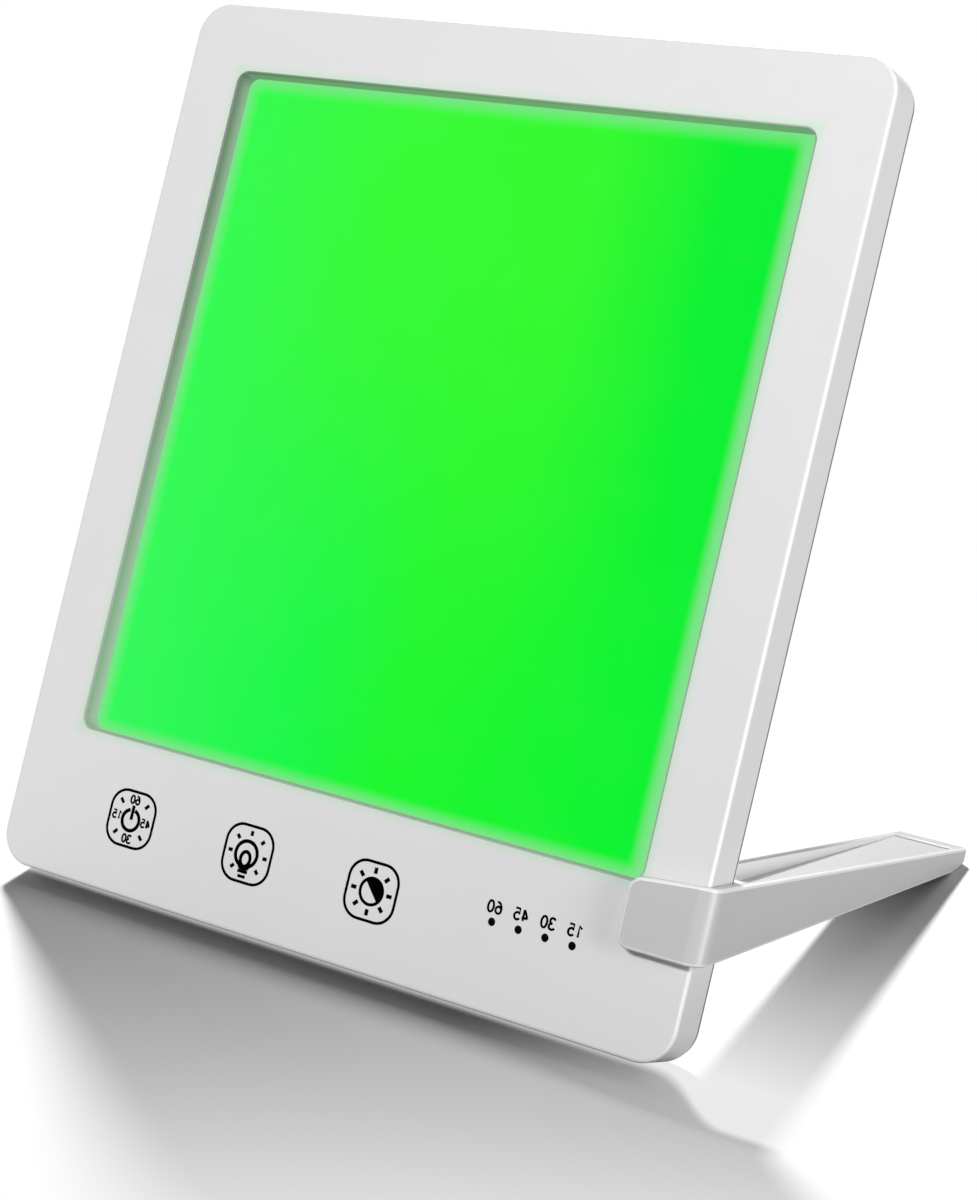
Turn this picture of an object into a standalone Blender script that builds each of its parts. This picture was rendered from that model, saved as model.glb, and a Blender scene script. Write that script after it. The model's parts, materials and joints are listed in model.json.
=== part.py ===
"""Tablet light therapy lamp on a clip-on stand.

A slim white panel leans back on its bottom edge. Its lit window lies in a recess, over three touch
signs and four timer lights. The stand grips the panel's right-hand edge, and its leg runs back to
the floor. Lengths are in metres, +Z is up and the window faces -Y. Every piece is placed in the
panel's own frame: X across it, Y from its front to its back, with the back at zero, and Z up it."""

from math import cos, pi, radians, sin

import bmesh
import bpy
from mathutils import Matrix, Vector

# Fits that the pieces share
GAP = 0.0003
FINE_GAP = 0.0001
OVERRUN = 0.003
SINK = 0.0004
MERGE = 0.000005

# The panel's outside
PANEL_WIDTH = 0.196
PANEL_HEIGHT = 0.230
PANEL_THICKNESS = 0.014
PANEL_CORNER = 0.009
FRONT_ROUND = 0.0009
LEAN = radians(20)

# The front bezel and its window
FRONT_WALL = 0.002
SIDE_WALL = 0.002
WINDOW_SIDE_MARGIN = 0.0167
WINDOW_TOP_MARGIN = 0.018
WINDOW_BOTTOM_MARGIN = 0.0388
WINDOW_CORNER = 0.003
COLLAR_WALL = 0.0018

# The rear cover
REAR_WALL = 0.002
REAR_ROUND = 0.0012
REAR_INSET = 0.0003
LIP_WALL = 0.0014
LIP_DEPTH = 0.002
RIB_WALL = 0.0012
RIB_DEPTH = 0.002
RIB_LENGTH_SHARE = 0.6

# The light stack, front to back
DIFFUSER_THICKNESS = 0.0015
GUIDE_THICKNESS = 0.0025
REFLECTOR_THICKNESS = 0.0004
TRAY_THICKNESS = 0.0009
STACK_OVERLAP = 0.0025
STACK_CORNER = 0.0015

# The two light strips
STRIP_THICKNESS = 0.0008
LAMP_HEIGHT = 0.0009
LAMP_LENGTH = 0.003
LAMP_WIDTH = 0.0014
LAMP_PITCH = 0.008

# Screws that hold the rear cover
SCREW_HEAD_RADIUS = 0.0025
SCREW_HEAD_HEIGHT = 0.0015
SCREW_HEAD_SET = 0.0004
SCREW_RADIUS = 0.0012
SCREW_LENGTH = 0.007
SCREW_SEAT = 0.002
SLOT_LENGTH = 0.003
SLOT_WIDTH = 0.0007
SLOT_DEPTH = 0.0008
SLOT_TIP_SHARE = 0.6
POST_INSET = 0.007
POST_WALL = 0.0018
SEAT_WALL = 0.0009
SCREW_ACROSS_SHARES = (-1, 0, 1)

# The main board and its screws
BOARD_THICKNESS = 0.0016
BOARD_STANDOFF = 0.003
BOARD_CORNER = 0.001
BOARD_END_AIR = 0.0015
BOARD_TOP_AIR = 0.0015
BOARD_BOTTOM_AIR = 0.0015
BOARD_END_MARGIN = 0.0085
BOARD_SCREW_HEAD_RADIUS = 0.0018
BOARD_SCREW_HEAD_HEIGHT = 0.0012
BOARD_SCREW_RADIUS = 0.0008
BOARD_SCREW_BITE = 0.0022
BOARD_SCREW_INSET = 0.0035
BOARD_SCREW_SHARES = (0.11, 0.5, 0.97)
PILLAR_WALL = 0.0012

# Touch signs and timer lights, at shares of the panel's width from its left edge
SIGN_PLACE_SHARES = (0.1974, 0.3844, 0.5714)
TOUCH_PAD_RADIUS = 0.0045
LIGHT_FIRST_SHARE = 0.7403
LIGHT_PITCH_SHARE = 0.0363
LIGHT_COUNT = 4
LIGHT_RAISE = 0.0013
LENS_RADIUS = 0.0009
LENS_FLANGE = 0.0006
LENS_FLANGE_THICKNESS = 0.0006
TIMER_LAMP_SIZE = 0.0016
TIMER_LAMP_HEIGHT = 0.0008

# Parts on the back of the main board
CHIP_HEIGHT = 0.0012
DRIVER_CHIP_SIZE = 0.007
TOUCH_CHIP_SIZE = 0.0055
INDUCTOR_RADIUS = 0.0045
INDUCTOR_HEIGHT = 0.0038
CAPACITOR_RADIUS = 0.0026
CAPACITOR_HEIGHT = 0.0036
DRIVER_CHIP_SHARE = 0.4
TOUCH_CHIP_SHARE = 0.62
INDUCTOR_SHARE = 0.27
CAPACITOR_SHARES = (0.17, 0.21)
PLUG_LENGTH = 0.0055
PLUG_WIDTH = 0.0045
PLUG_HEIGHT = 0.0034
LEAD_RADIUS = 0.0006
LEAD_STEPS = 14
LEAD_REACH_SHARE = 0.75

# The power socket
SOCKET_WIDTH = 0.0089
SOCKET_HEIGHT = 0.0033
SOCKET_LENGTH = 0.0074
SOCKET_WALL = 0.0003
SOCKET_BACK = 0.001
SOCKET_SET = 0.0004
TONGUE_WIDTH = 0.0067
TONGUE_THICKNESS = 0.0007
TONGUE_SET = 0.0006

# The stand: clip and leg
CLIP_RISE = 0.0237
CLIP_HEIGHT = 0.0179
CLIP_FRONT_WALL = 0.003
CLIP_SIDE_WALL = 0.003
CLIP_BACK_WALL = 0.0028
CLIP_DEPTH = 0.018
CLIP_BEND = 0.006
TAB_CORNER = 0.003
LEG_REACH = 0.1485
LEG_ROOT_WIDTH = 0.0158
LEG_TIP_WIDTH = 0.0208
LEG_TIP_HEIGHT = 0.0044
LEG_TIP_CORNER = 0.0012
FOOT_LENGTH = 0.009
STAND_ROUND = 0.0005
RECESS_RIM = 0.002
RECESS_END_RIM = 0.0085
RECESS_ROOT_DEPTH = 0.0055
RECESS_TIP_DEPTH = 0.0006
HOLLOW_WALL = 0.0022
HOLLOW_RIB = 0.0016
HOLLOW_END = 0.022
HOLLOW_COUNT = 4

# Facets of the round shapes
CORNER_STEPS = 6
EDGE_STEPS = 2
PIN_STEPS = 16
TURN_STEPS = 16
BEND_STEPS = 8

# Planes of the panel, front to back
FRONT_Y = -PANEL_THICKNESS
INNER_FRONT_Y = FRONT_Y + FRONT_WALL
INNER_REAR_Y = -REAR_WALL
BEZEL_REAR_Y = INNER_REAR_Y - GAP
TRAY_Y = INNER_REAR_Y - GAP - TRAY_THICKNESS
REFLECTOR_Y = TRAY_Y - GAP - REFLECTOR_THICKNESS
GUIDE_Y = REFLECTOR_Y - GAP - GUIDE_THICKNESS
DIFFUSER_Y = GUIDE_Y - GAP - DIFFUSER_THICKNESS
COLLAR_REAR_Y = DIFFUSER_Y - GAP
BOARD_Y = INNER_FRONT_Y + BOARD_STANDOFF + GAP
BOARD_REAR_Y = BOARD_Y + BOARD_THICKNESS

# The window and the stack behind it
WINDOW_WIDTH = PANEL_WIDTH - 2 * WINDOW_SIDE_MARGIN
WINDOW_HEIGHT = PANEL_HEIGHT - WINDOW_TOP_MARGIN - WINDOW_BOTTOM_MARGIN
WINDOW_Z = WINDOW_BOTTOM_MARGIN + WINDOW_HEIGHT / 2
STACK_WIDTH = WINDOW_WIDTH + 2 * STACK_OVERLAP
STACK_HEIGHT = WINDOW_HEIGHT + 2 * STACK_OVERLAP
LAMP_X = STACK_WIDTH / 2 + GAP
STRIP_X = LAMP_X + LAMP_HEIGHT + STRIP_THICKNESS / 2
TRAY_INNER_X = STRIP_X + STRIP_THICKNESS / 2 + GAP
TRAY_OUTER_X = TRAY_INNER_X + TRAY_THICKNESS
STRIP_MIDDLE_Y = GUIDE_Y + GUIDE_THICKNESS / 2
STRIP_WIDTH = 2 * (TRAY_Y - GAP - STRIP_MIDDLE_Y)

# Screw places and the radii that follow from the screws
POST_X = PANEL_WIDTH / 2 - POST_INSET
PILOT_RADIUS = SCREW_RADIUS + FINE_GAP
POST_RADIUS = PILOT_RADIUS + POST_WALL
BORE_RADIUS = SCREW_HEAD_RADIUS + GAP
SEAT_RADIUS = BORE_RADIUS + SEAT_WALL
HEAD_TOP_Y = -SCREW_HEAD_SET
HEAD_SEAT_Y = HEAD_TOP_Y - SCREW_HEAD_HEIGHT - GAP
SEAT_Y = HEAD_SEAT_Y - SCREW_SEAT
POST_REAR_Y = SEAT_Y - GAP
BOARD_PILOT_RADIUS = BOARD_SCREW_RADIUS + FINE_GAP
PILLAR_RADIUS = BOARD_PILOT_RADIUS + PILLAR_WALL

# The band under the window: signs, lights and board
BAND_Z = WINDOW_BOTTOM_MARGIN / 2
LIGHT_Z = BAND_Z + LIGHT_RAISE
BOARD_LEFT = -PANEL_WIDTH / 2 + SIDE_WALL + BOARD_END_AIR
BOARD_LOW = POST_INSET + SEAT_RADIUS + BOARD_BOTTOM_AIR
BOARD_HIGH = WINDOW_BOTTOM_MARGIN - STACK_OVERLAP - BOARD_TOP_AIR
BOARD_MIDDLE_Z = (BOARD_LOW + BOARD_HIGH) / 2

# The stand's places
STAND_OUTER_X = PANEL_WIDTH / 2 + GAP + CLIP_SIDE_WALL
STAND_FRONT_Y = FRONT_Y - GAP - CLIP_FRONT_WALL
CLIP_BACK_Y = GAP + CLIP_BACK_WALL
CLIP_INNER_X = PANEL_WIDTH / 2 - CLIP_DEPTH

WHITE_PLASTIC = ("white_plastic", (0.80, 0.80, 0.80), 0.34, 0.0)
DIFFUSER_GREEN = ("lit_diffuser", (0.05, 0.90, 0.08), 0.55, 0.0)
CLEAR_ACRYLIC = ("clear_acrylic", (0.82, 0.90, 0.88), 0.10, 0.0)
WHITE_FILM = ("white_film", (0.92, 0.92, 0.92), 0.45, 0.0)
ALUMINIUM = ("aluminium", (0.62, 0.63, 0.65), 0.38, 1.0)
STRIP_WHITE = ("strip_white", (0.86, 0.86, 0.82), 0.50, 0.0)
BOARD_GREEN = ("board_green", (0.03, 0.22, 0.10), 0.45, 0.0)
BLACK_EPOXY = ("black_epoxy", (0.02, 0.02, 0.02), 0.55, 0.0)
FERRITE = ("ferrite", (0.07, 0.07, 0.075), 0.70, 0.0)
GREY_FOAM = ("grey_foam", (0.22, 0.22, 0.23), 0.95, 0.0)
SMOKED_LENS = ("smoked_lens", (0.015, 0.015, 0.015), 0.15, 0.0)
LAMP_WHITE = ("lamp_white", (0.90, 0.88, 0.78), 0.35, 0.0)
STEEL = ("steel", (0.55, 0.56, 0.58), 0.30, 1.0)
PLUG_CREAM = ("plug_cream", (0.82, 0.78, 0.66), 0.50, 0.0)
LEAD_BLACK = ("lead_black", (0.03, 0.03, 0.03), 0.60, 0.0)


def clear_scene():
    for thing in list(bpy.data.objects):
        bpy.data.objects.remove(thing)


def new_collection(name):
    collection = bpy.data.collections.new(name)
    bpy.context.scene.collection.children.link(collection)
    return collection


def material_of(finish):
    """The Principled material of a finish, made the first time it is asked for."""
    name, colour, roughness, metallic = finish
    material = bpy.data.materials.get(name)
    if material is None:
        material = bpy.data.materials.new(name)
        material.use_nodes = True
        shader = material.node_tree.nodes["Principled BSDF"]
        shader.inputs["Base Color"].default_value = (*colour, 1.0)
        shader.inputs["Roughness"].default_value = roughness
        shader.inputs["Metallic"].default_value = metallic
        material.diffuse_color = (*colour, 1.0)
    return material


def add_piece(name, data, finish, place=(0, 0, 0), turn=(0, 0, 0)):
    """A piece of the lamp: its data, finish, and place and turn in the panel's frame."""
    data.materials.clear()
    data.materials.append(material_of(finish))
    piece = bpy.data.objects.new(name, data)
    piece.location = place
    piece.rotation_euler = turn
    piece.parent = panel_frame
    parts.objects.link(piece)
    return piece


def add_helper(name, mesh, place=(0, 0, 0)):
    """A cutter, or a shape that a piece is joined with, in the panel's frame."""
    helper = bpy.data.objects.new(name, mesh)
    helper.location = place
    helper.parent = panel_frame
    helper.hide_render = True
    helper.display_type = "WIRE"
    cutters.objects.link(helper)
    return helper


def combine(piece, operation, helper):
    modifier = piece.modifiers.new(f"{operation} {helper.name}", "BOOLEAN")
    modifier.operation = operation
    modifier.solver = "EXACT"
    modifier.object = helper


def mesh_from(bm, name):
    bmesh.ops.recalc_face_normals(bm, faces=bm.faces)
    mesh = bpy.data.meshes.new(name)
    bm.to_mesh(mesh)
    bm.free()
    return mesh


def smooth(mesh):
    mesh.shade_smooth()
    mesh.set_sharp_from_angle(angle=radians(35))
    return mesh


def round_edges(bm, edges, radius, steps):
    bmesh.ops.bevel(
        bm, geom=edges, offset=radius, segments=steps, profile=0.5, affect="EDGES", clamp_overlap=True
    )
    bm.normal_update()


def add_box(bm, centre, size):
    """A box in a bmesh, and its vertices."""
    shape = Matrix.Translation(centre) @ Matrix.Diagonal((*size, 1.0))
    return bmesh.ops.create_cube(bm, size=1.0, matrix=shape)["verts"]


def boxes_mesh(name, boxes):
    """Boxes that lie apart, each a (centre, size) pair."""
    bm = bmesh.new()
    for centre, size in boxes:
        add_box(bm, centre, size)
    return mesh_from(bm, name)


def slab_mesh(name, size, corner=0.0, front_round=0.0, rear_round=0.0):
    """A box with round edges along Y, and then round rims on its front or its back face."""
    bm = bmesh.new()
    add_box(bm, (0, 0, 0), size)
    bm.normal_update()
    if corner:
        along_y = [e for e in bm.edges if abs(e.verts[0].co.y - e.verts[1].co.y) > size[1] / 2]
        round_edges(bm, along_y, corner, CORNER_STEPS)
    for rounding, side in ((front_round, -1), (rear_round, 1)):
        if rounding:
            rim = {e for f in bm.faces if f.normal.y * side > cos(pi / 8) for e in f.edges}
            round_edges(bm, list(rim), rounding, EDGE_STEPS)
    return smooth(mesh_from(bm, name))


def pins_mesh(name, places, radius, low_y, high_y):
    """Round pins along Y at (x, z) places."""
    bm = bmesh.new()
    for x, z in places:
        shape = Matrix.Translation((x, (low_y + high_y) / 2, z)) @ Matrix.Rotation(pi / 2, 4, "X")
        bmesh.ops.create_cone(
            bm, cap_ends=True, segments=PIN_STEPS, radius1=radius, radius2=radius,
            depth=high_y - low_y, matrix=shape,
        )
    return smooth(mesh_from(bm, name))


def outline_mesh(name, outline, thickness, plane):
    """A flat outline, filled and extruded half its thickness to each side of its plane."""
    curve = bpy.data.curves.new(name, "CURVE")
    curve.dimensions = "2D"
    curve.fill_mode = "BOTH"
    curve.extrude = thickness / 2
    spline = curve.splines.new("POLY")
    spline.points.add(len(outline) - 1)
    for point, (across, along) in zip(spline.points, outline):
        point.co = (across, along, 0, 1)
    spline.use_cyclic_u = True
    guide = bpy.data.objects.new(name, curve)
    cutters.objects.link(guide)
    bpy.context.view_layer.update()
    flat = bpy.data.meshes.new_from_object(guide.evaluated_get(bpy.context.evaluated_depsgraph_get()))
    bpy.data.objects.remove(guide)
    bpy.data.curves.remove(curve)
    bm = bmesh.new()
    bm.from_mesh(flat)
    bpy.data.meshes.remove(flat)
    bmesh.ops.remove_doubles(bm, verts=bm.verts, dist=MERGE)
    bmesh.ops.transform(bm, matrix=plane, verts=bm.verts)
    return mesh_from(bm, name)


def arc(centre, radius, start, end, steps):
    """Points along an arc, its angles in radians."""
    angles = [start + (end - start) * step / steps for step in range(steps + 1)]
    return [(centre[0] + radius * cos(a), centre[1] + radius * sin(a)) for a in angles]


def rounded_outline(width, height, corner):
    """A rectangle about zero with round corners."""
    right = width / 2 - corner
    top = height / 2 - corner
    points = arc((right, top), corner, 0, pi / 2, CORNER_STEPS)
    points += arc((-right, top), corner, pi / 2, pi, CORNER_STEPS)
    points += arc((-right, -top), corner, pi, 3 * pi / 2, CORNER_STEPS)
    return points + arc((right, -top), corner, 3 * pi / 2, 2 * pi, CORNER_STEPS)


# An outline drawn in Y and Z and extruded along X, and one drawn in X and Y and extruded along Z
SIDE_PLANE = Matrix(((0, 0, 1, 0), (1, 0, 0, 0), (0, 1, 0, 0), (0, 0, 0, 1)))
PLAN_PLANE = Matrix.Identity(4)


def add_turned(name, profile, finish, place, turn):
    """A turned piece: (radius, height) points from the top down its outer side."""
    mesh = bpy.data.meshes.new(name)
    points = [(radius, 0, height) for radius, height in profile]
    mesh.from_pydata(points, [(i, i + 1) for i in range(len(points) - 1)], [])
    piece = add_piece(name, mesh, finish, place, turn)
    screw = piece.modifiers.new("turned", "SCREW")
    screw.steps = TURN_STEPS
    screw.render_steps = TURN_STEPS
    screw.use_merge_vertices = True
    screw.merge_threshold = MERGE
    return piece


def screw_places():
    """(x, z) of the six cover screws: three along the top edge and three along the bottom."""
    heights = (POST_INSET, PANEL_HEIGHT - POST_INSET)
    return [(share * POST_X, z) for z in heights for share in SCREW_ACROSS_SHARES]


def light_places():
    """(x, z) of the timer lights."""
    shares = [LIGHT_FIRST_SHARE + LIGHT_PITCH_SHARE * number for number in range(LIGHT_COUNT)]
    return [((share - 1 / 2) * PANEL_WIDTH, LIGHT_Z) for share in shares]


def sign_places():
    """(x, z) of the touch signs, and so of the pads behind them."""
    return [((share - 1 / 2) * PANEL_WIDTH, BAND_Z) for share in SIGN_PLACE_SHARES]


def board_right():
    return light_places()[-1][0] + BOARD_END_MARGIN


def board_x(share):
    """A place along the main board, at a share of its length from its left end."""
    return BOARD_LEFT + (board_right() - BOARD_LEFT) * share


def board_screw_places():
    z = BOARD_HIGH - BOARD_SCREW_INSET
    return [(board_x(share), z) for share in BOARD_SCREW_SHARES]


def socket_middle_y():
    return BOARD_REAR_Y + GAP + SOCKET_HEIGHT / 2


def make_front_bezel():
    depth = BEZEL_REAR_Y - FRONT_Y
    size = (PANEL_WIDTH, depth, PANEL_HEIGHT)
    middle = (0, (FRONT_Y + BEZEL_REAR_Y) / 2, PANEL_HEIGHT / 2)
    bezel = add_piece("front_bezel", slab_mesh("front_bezel", size, PANEL_CORNER, FRONT_ROUND), WHITE_PLASTIC, middle)

    hollow_depth = BEZEL_REAR_Y + OVERRUN - INNER_FRONT_Y
    hollow = (PANEL_WIDTH - 2 * SIDE_WALL, hollow_depth, PANEL_HEIGHT - 2 * SIDE_WALL)
    hollow_mesh = slab_mesh("bezel_hollow", hollow, PANEL_CORNER - SIDE_WALL)
    hollow_place = (0, INNER_FRONT_Y + hollow_depth / 2, PANEL_HEIGHT / 2)
    combine(bezel, "DIFFERENCE", add_helper("bezel_hollow", hollow_mesh, hollow_place))

    collar_low = INNER_FRONT_Y - SINK
    collar = (WINDOW_WIDTH + 2 * COLLAR_WALL, COLLAR_REAR_Y - collar_low, WINDOW_HEIGHT + 2 * COLLAR_WALL)
    collar_mesh = slab_mesh("window_collar", collar, WINDOW_CORNER + COLLAR_WALL)
    collar_place = (0, (collar_low + COLLAR_REAR_Y) / 2, WINDOW_Z)
    combine(bezel, "UNION", add_helper("window_collar", collar_mesh, collar_place))

    low = INNER_FRONT_Y - SINK
    posts = pins_mesh("screw_posts", screw_places(), POST_RADIUS, low, POST_REAR_Y)
    combine(bezel, "UNION", add_helper("screw_posts", posts))
    pillars = pins_mesh(
        "board_pillars", board_screw_places(), PILLAR_RADIUS, low, INNER_FRONT_Y + BOARD_STANDOFF
    )
    combine(bezel, "UNION", add_helper("board_pillars", pillars))
    rib_z = STACK_HEIGHT / 2 + GAP + RIB_WALL / 2
    rib = (WINDOW_WIDTH * RIB_LENGTH_SHARE, POST_REAR_Y - low, RIB_WALL)
    ribs = [((0, (low + POST_REAR_Y) / 2, WINDOW_Z + side * rib_z), rib) for side in (-1, 1)]
    combine(bezel, "UNION", add_helper("stack_ribs", boxes_mesh("stack_ribs", ribs)))

    window = (WINDOW_WIDTH, PANEL_THICKNESS + 2 * OVERRUN, WINDOW_HEIGHT)
    window_mesh = slab_mesh("window_cut", window, WINDOW_CORNER)
    combine(bezel, "DIFFERENCE", add_helper("window_cut", window_mesh, (0, FRONT_Y / 2, WINDOW_Z)))
    pilot_low = HEAD_SEAT_Y - SCREW_LENGTH - GAP
    pilots = pins_mesh("screw_pilots", screw_places(), PILOT_RADIUS, pilot_low, POST_REAR_Y + OVERRUN)
    combine(bezel, "DIFFERENCE", add_helper("screw_pilots", pilots))
    bite_low = INNER_FRONT_Y + BOARD_STANDOFF - BOARD_SCREW_BITE - GAP
    bites = pins_mesh(
        "board_pilots", board_screw_places(), BOARD_PILOT_RADIUS, bite_low, BOARD_Y + OVERRUN
    )
    combine(bezel, "DIFFERENCE", add_helper("board_pilots", bites))
    holes = pins_mesh(
        "lens_holes", light_places(), LENS_RADIUS + FINE_GAP, FRONT_Y - OVERRUN, INNER_FRONT_Y + OVERRUN
    )
    combine(bezel, "DIFFERENCE", add_helper("lens_holes", holes))
    mouth_length = SIDE_WALL + 2 * OVERRUN
    mouth_outline = rounded_outline(
        SOCKET_HEIGHT + 2 * GAP, SOCKET_WIDTH + 2 * GAP, SOCKET_HEIGHT / 2 + GAP - MERGE
    )
    mouth = outline_mesh("socket_mouth", mouth_outline, mouth_length, SIDE_PLANE)
    mouth_place = (-PANEL_WIDTH / 2 + SIDE_WALL / 2, socket_middle_y(), BOARD_MIDDLE_Z)
    combine(bezel, "DIFFERENCE", add_helper("socket_mouth", mouth, mouth_place))
    return bezel


def make_rear_cover():
    size = (PANEL_WIDTH - 2 * REAR_INSET, REAR_WALL, PANEL_HEIGHT - 2 * REAR_INSET)
    mesh = slab_mesh("rear_cover", size, PANEL_CORNER - REAR_INSET, 0.0, REAR_ROUND)
    cover = add_piece("rear_cover", mesh, WHITE_PLASTIC, (0, -REAR_WALL / 2, PANEL_HEIGHT / 2))

    lip_inset = SIDE_WALL + GAP
    lip_length = LIP_DEPTH + SINK
    lip = (PANEL_WIDTH - 2 * lip_inset, lip_length, PANEL_HEIGHT - 2 * lip_inset)
    lip_mesh = slab_mesh("cover_lip", lip, PANEL_CORNER - lip_inset)
    lip_helper = add_helper("cover_lip", lip_mesh, (0, INNER_REAR_Y + SINK - lip_length / 2, PANEL_HEIGHT / 2))
    inside = (lip[0] - 2 * LIP_WALL, lip_length + 2 * OVERRUN, lip[2] - 2 * LIP_WALL)
    inside_mesh = slab_mesh("lip_inside", inside, PANEL_CORNER - lip_inset - LIP_WALL)
    inside_helper = add_helper("lip_inside", inside_mesh, lip_helper.location)
    combine(lip_helper, "DIFFERENCE", inside_helper)
    combine(cover, "UNION", lip_helper)
    notch_low = INNER_REAR_Y - LIP_DEPTH - OVERRUN
    notch_high = socket_middle_y() + SOCKET_HEIGHT / 2 + GAP
    notch = (2 * (SIDE_WALL + LIP_WALL + OVERRUN), notch_high - notch_low, SOCKET_WIDTH + 2 * GAP)
    notch_centre = (-PANEL_WIDTH / 2, (notch_low + notch_high) / 2, BOARD_MIDDLE_Z)
    notch_mesh = boxes_mesh("socket_notch", [(notch_centre, notch)])
    combine(cover, "DIFFERENCE", add_helper("socket_notch", notch_mesh))

    seats = pins_mesh("screw_seats", screw_places(), SEAT_RADIUS, SEAT_Y, INNER_REAR_Y + SINK)
    combine(cover, "UNION", add_helper("screw_seats", seats))
    rib_y = INNER_REAR_Y + SINK - (RIB_DEPTH + SINK) / 2
    side_rib = (RIB_WALL, RIB_DEPTH + SINK, STACK_HEIGHT * RIB_LENGTH_SHARE)
    end_rib = (STACK_WIDTH * RIB_LENGTH_SHARE, RIB_DEPTH + SINK, RIB_WALL)
    side_x = TRAY_OUTER_X + GAP + RIB_WALL / 2
    end_z = STACK_HEIGHT / 2 + GAP + RIB_WALL / 2
    ribs = [((side * side_x, rib_y, WINDOW_Z), side_rib) for side in (-1, 1)]
    ribs += [((0, rib_y, WINDOW_Z + side * end_z), end_rib) for side in (-1, 1)]
    combine(cover, "UNION", add_helper("tray_ribs", boxes_mesh("tray_ribs", ribs)))

    bores = pins_mesh("screw_bores", screw_places(), BORE_RADIUS, HEAD_SEAT_Y, OVERRUN)
    combine(cover, "DIFFERENCE", add_helper("screw_bores", bores))
    holes = pins_mesh(
        "screw_holes", screw_places(), SCREW_RADIUS + GAP, SEAT_Y - OVERRUN, HEAD_SEAT_Y + OVERRUN
    )
    combine(cover, "DIFFERENCE", add_helper("screw_holes", holes))


def screw_profile(head_radius, head_height, radius, length):
    """A pan head over a plain shank with a pointed end, its seat at zero."""
    crown = head_height / 3
    return [
        (0, head_height),
        (head_radius - crown, head_height),
        (head_radius, head_height - crown),
        (head_radius, 0),
        (radius, 0),
        (radius, radius - length),
        (0, -length),
    ]


def make_cover_screws():
    profile = screw_profile(SCREW_HEAD_RADIUS, SCREW_HEAD_HEIGHT, SCREW_RADIUS, SCREW_LENGTH)
    seat_y = HEAD_SEAT_Y + GAP
    for number, (x, z) in enumerate(screw_places(), 1):
        screw = add_turned(f"cover_screw_{number}", profile, STEEL, (x, seat_y, z), (-pi / 2, 0, 0))
        half_length = SLOT_LENGTH / 2
        half_width = SLOT_WIDTH / 2
        half_tip = half_width * SLOT_TIP_SHARE
        quarter = [(half_length, -half_tip), (half_length, half_tip), (half_width, half_width)]
        cross = [
            (across * cos(turn) - along * sin(turn), across * sin(turn) + along * cos(turn))
            for turn in (0, pi / 2, pi, 3 * pi / 2)
            for across, along in quarter
        ]
        deep = SLOT_DEPTH + OVERRUN
        mesh = outline_mesh(f"cross_{number}", cross, deep, Matrix.Rotation(pi / 2, 4, "X"))
        place = (x, HEAD_TOP_Y - SLOT_DEPTH + deep / 2, z)
        combine(screw, "DIFFERENCE", add_helper(f"cross_{number}", mesh, place))


def make_stack():
    """Diffuser, light guide, reflector and the metal tray that carries the light strips."""
    layers = (
        ("diffuser_panel", DIFFUSER_Y, DIFFUSER_THICKNESS, DIFFUSER_GREEN),
        ("light_guide_plate", GUIDE_Y, GUIDE_THICKNESS, CLEAR_ACRYLIC),
        ("reflector_sheet", REFLECTOR_Y, REFLECTOR_THICKNESS, WHITE_FILM),
    )
    for name, front_y, thickness, finish in layers:
        mesh = slab_mesh(name, (STACK_WIDTH, thickness, STACK_HEIGHT), STACK_CORNER)
        add_piece(name, mesh, finish, (0, front_y + thickness / 2, WINDOW_Z))

    flange_y = STRIP_MIDDLE_Y - STRIP_WIDTH / 2
    base_y = TRAY_Y + TRAY_THICKNESS
    tray_outline = [
        (TRAY_INNER_X, flange_y),
        (TRAY_OUTER_X, flange_y),
        (TRAY_OUTER_X, base_y),
        (-TRAY_OUTER_X, base_y),
        (-TRAY_OUTER_X, flange_y),
        (-TRAY_INNER_X, flange_y),
        (-TRAY_INNER_X, TRAY_Y),
        (TRAY_INNER_X, TRAY_Y),
    ]
    tray = outline_mesh("back_tray", tray_outline, STACK_HEIGHT, PLAN_PLANE)
    add_piece("back_tray", tray, ALUMINIUM, (0, 0, WINDOW_Z))


def make_light_strips():
    count = int((STACK_HEIGHT - LAMP_LENGTH) / LAMP_PITCH)
    size = (STRIP_THICKNESS, STRIP_WIDTH, STACK_HEIGHT)
    for name, side in (("light_strip_left", -1), ("light_strip_right", 1)):
        mesh = boxes_mesh(name, [((0, 0, 0), size)])
        strip = add_piece(name, mesh, STRIP_WHITE, (side * STRIP_X, STRIP_MIDDLE_Y, WINDOW_Z))
        lamp = (LAMP_HEIGHT + SINK, LAMP_WIDTH, LAMP_LENGTH)
        lamp_x = side * (LAMP_X + lamp[0] / 2)
        heights = [WINDOW_Z + LAMP_PITCH * (number - (count - 1) / 2) for number in range(count)]
        lamps = boxes_mesh(f"{name}_lamps", [((lamp_x, STRIP_MIDDLE_Y, z), lamp) for z in heights])
        combine(strip, "UNION", add_helper(f"{name}_lamps", lamps))


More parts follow.
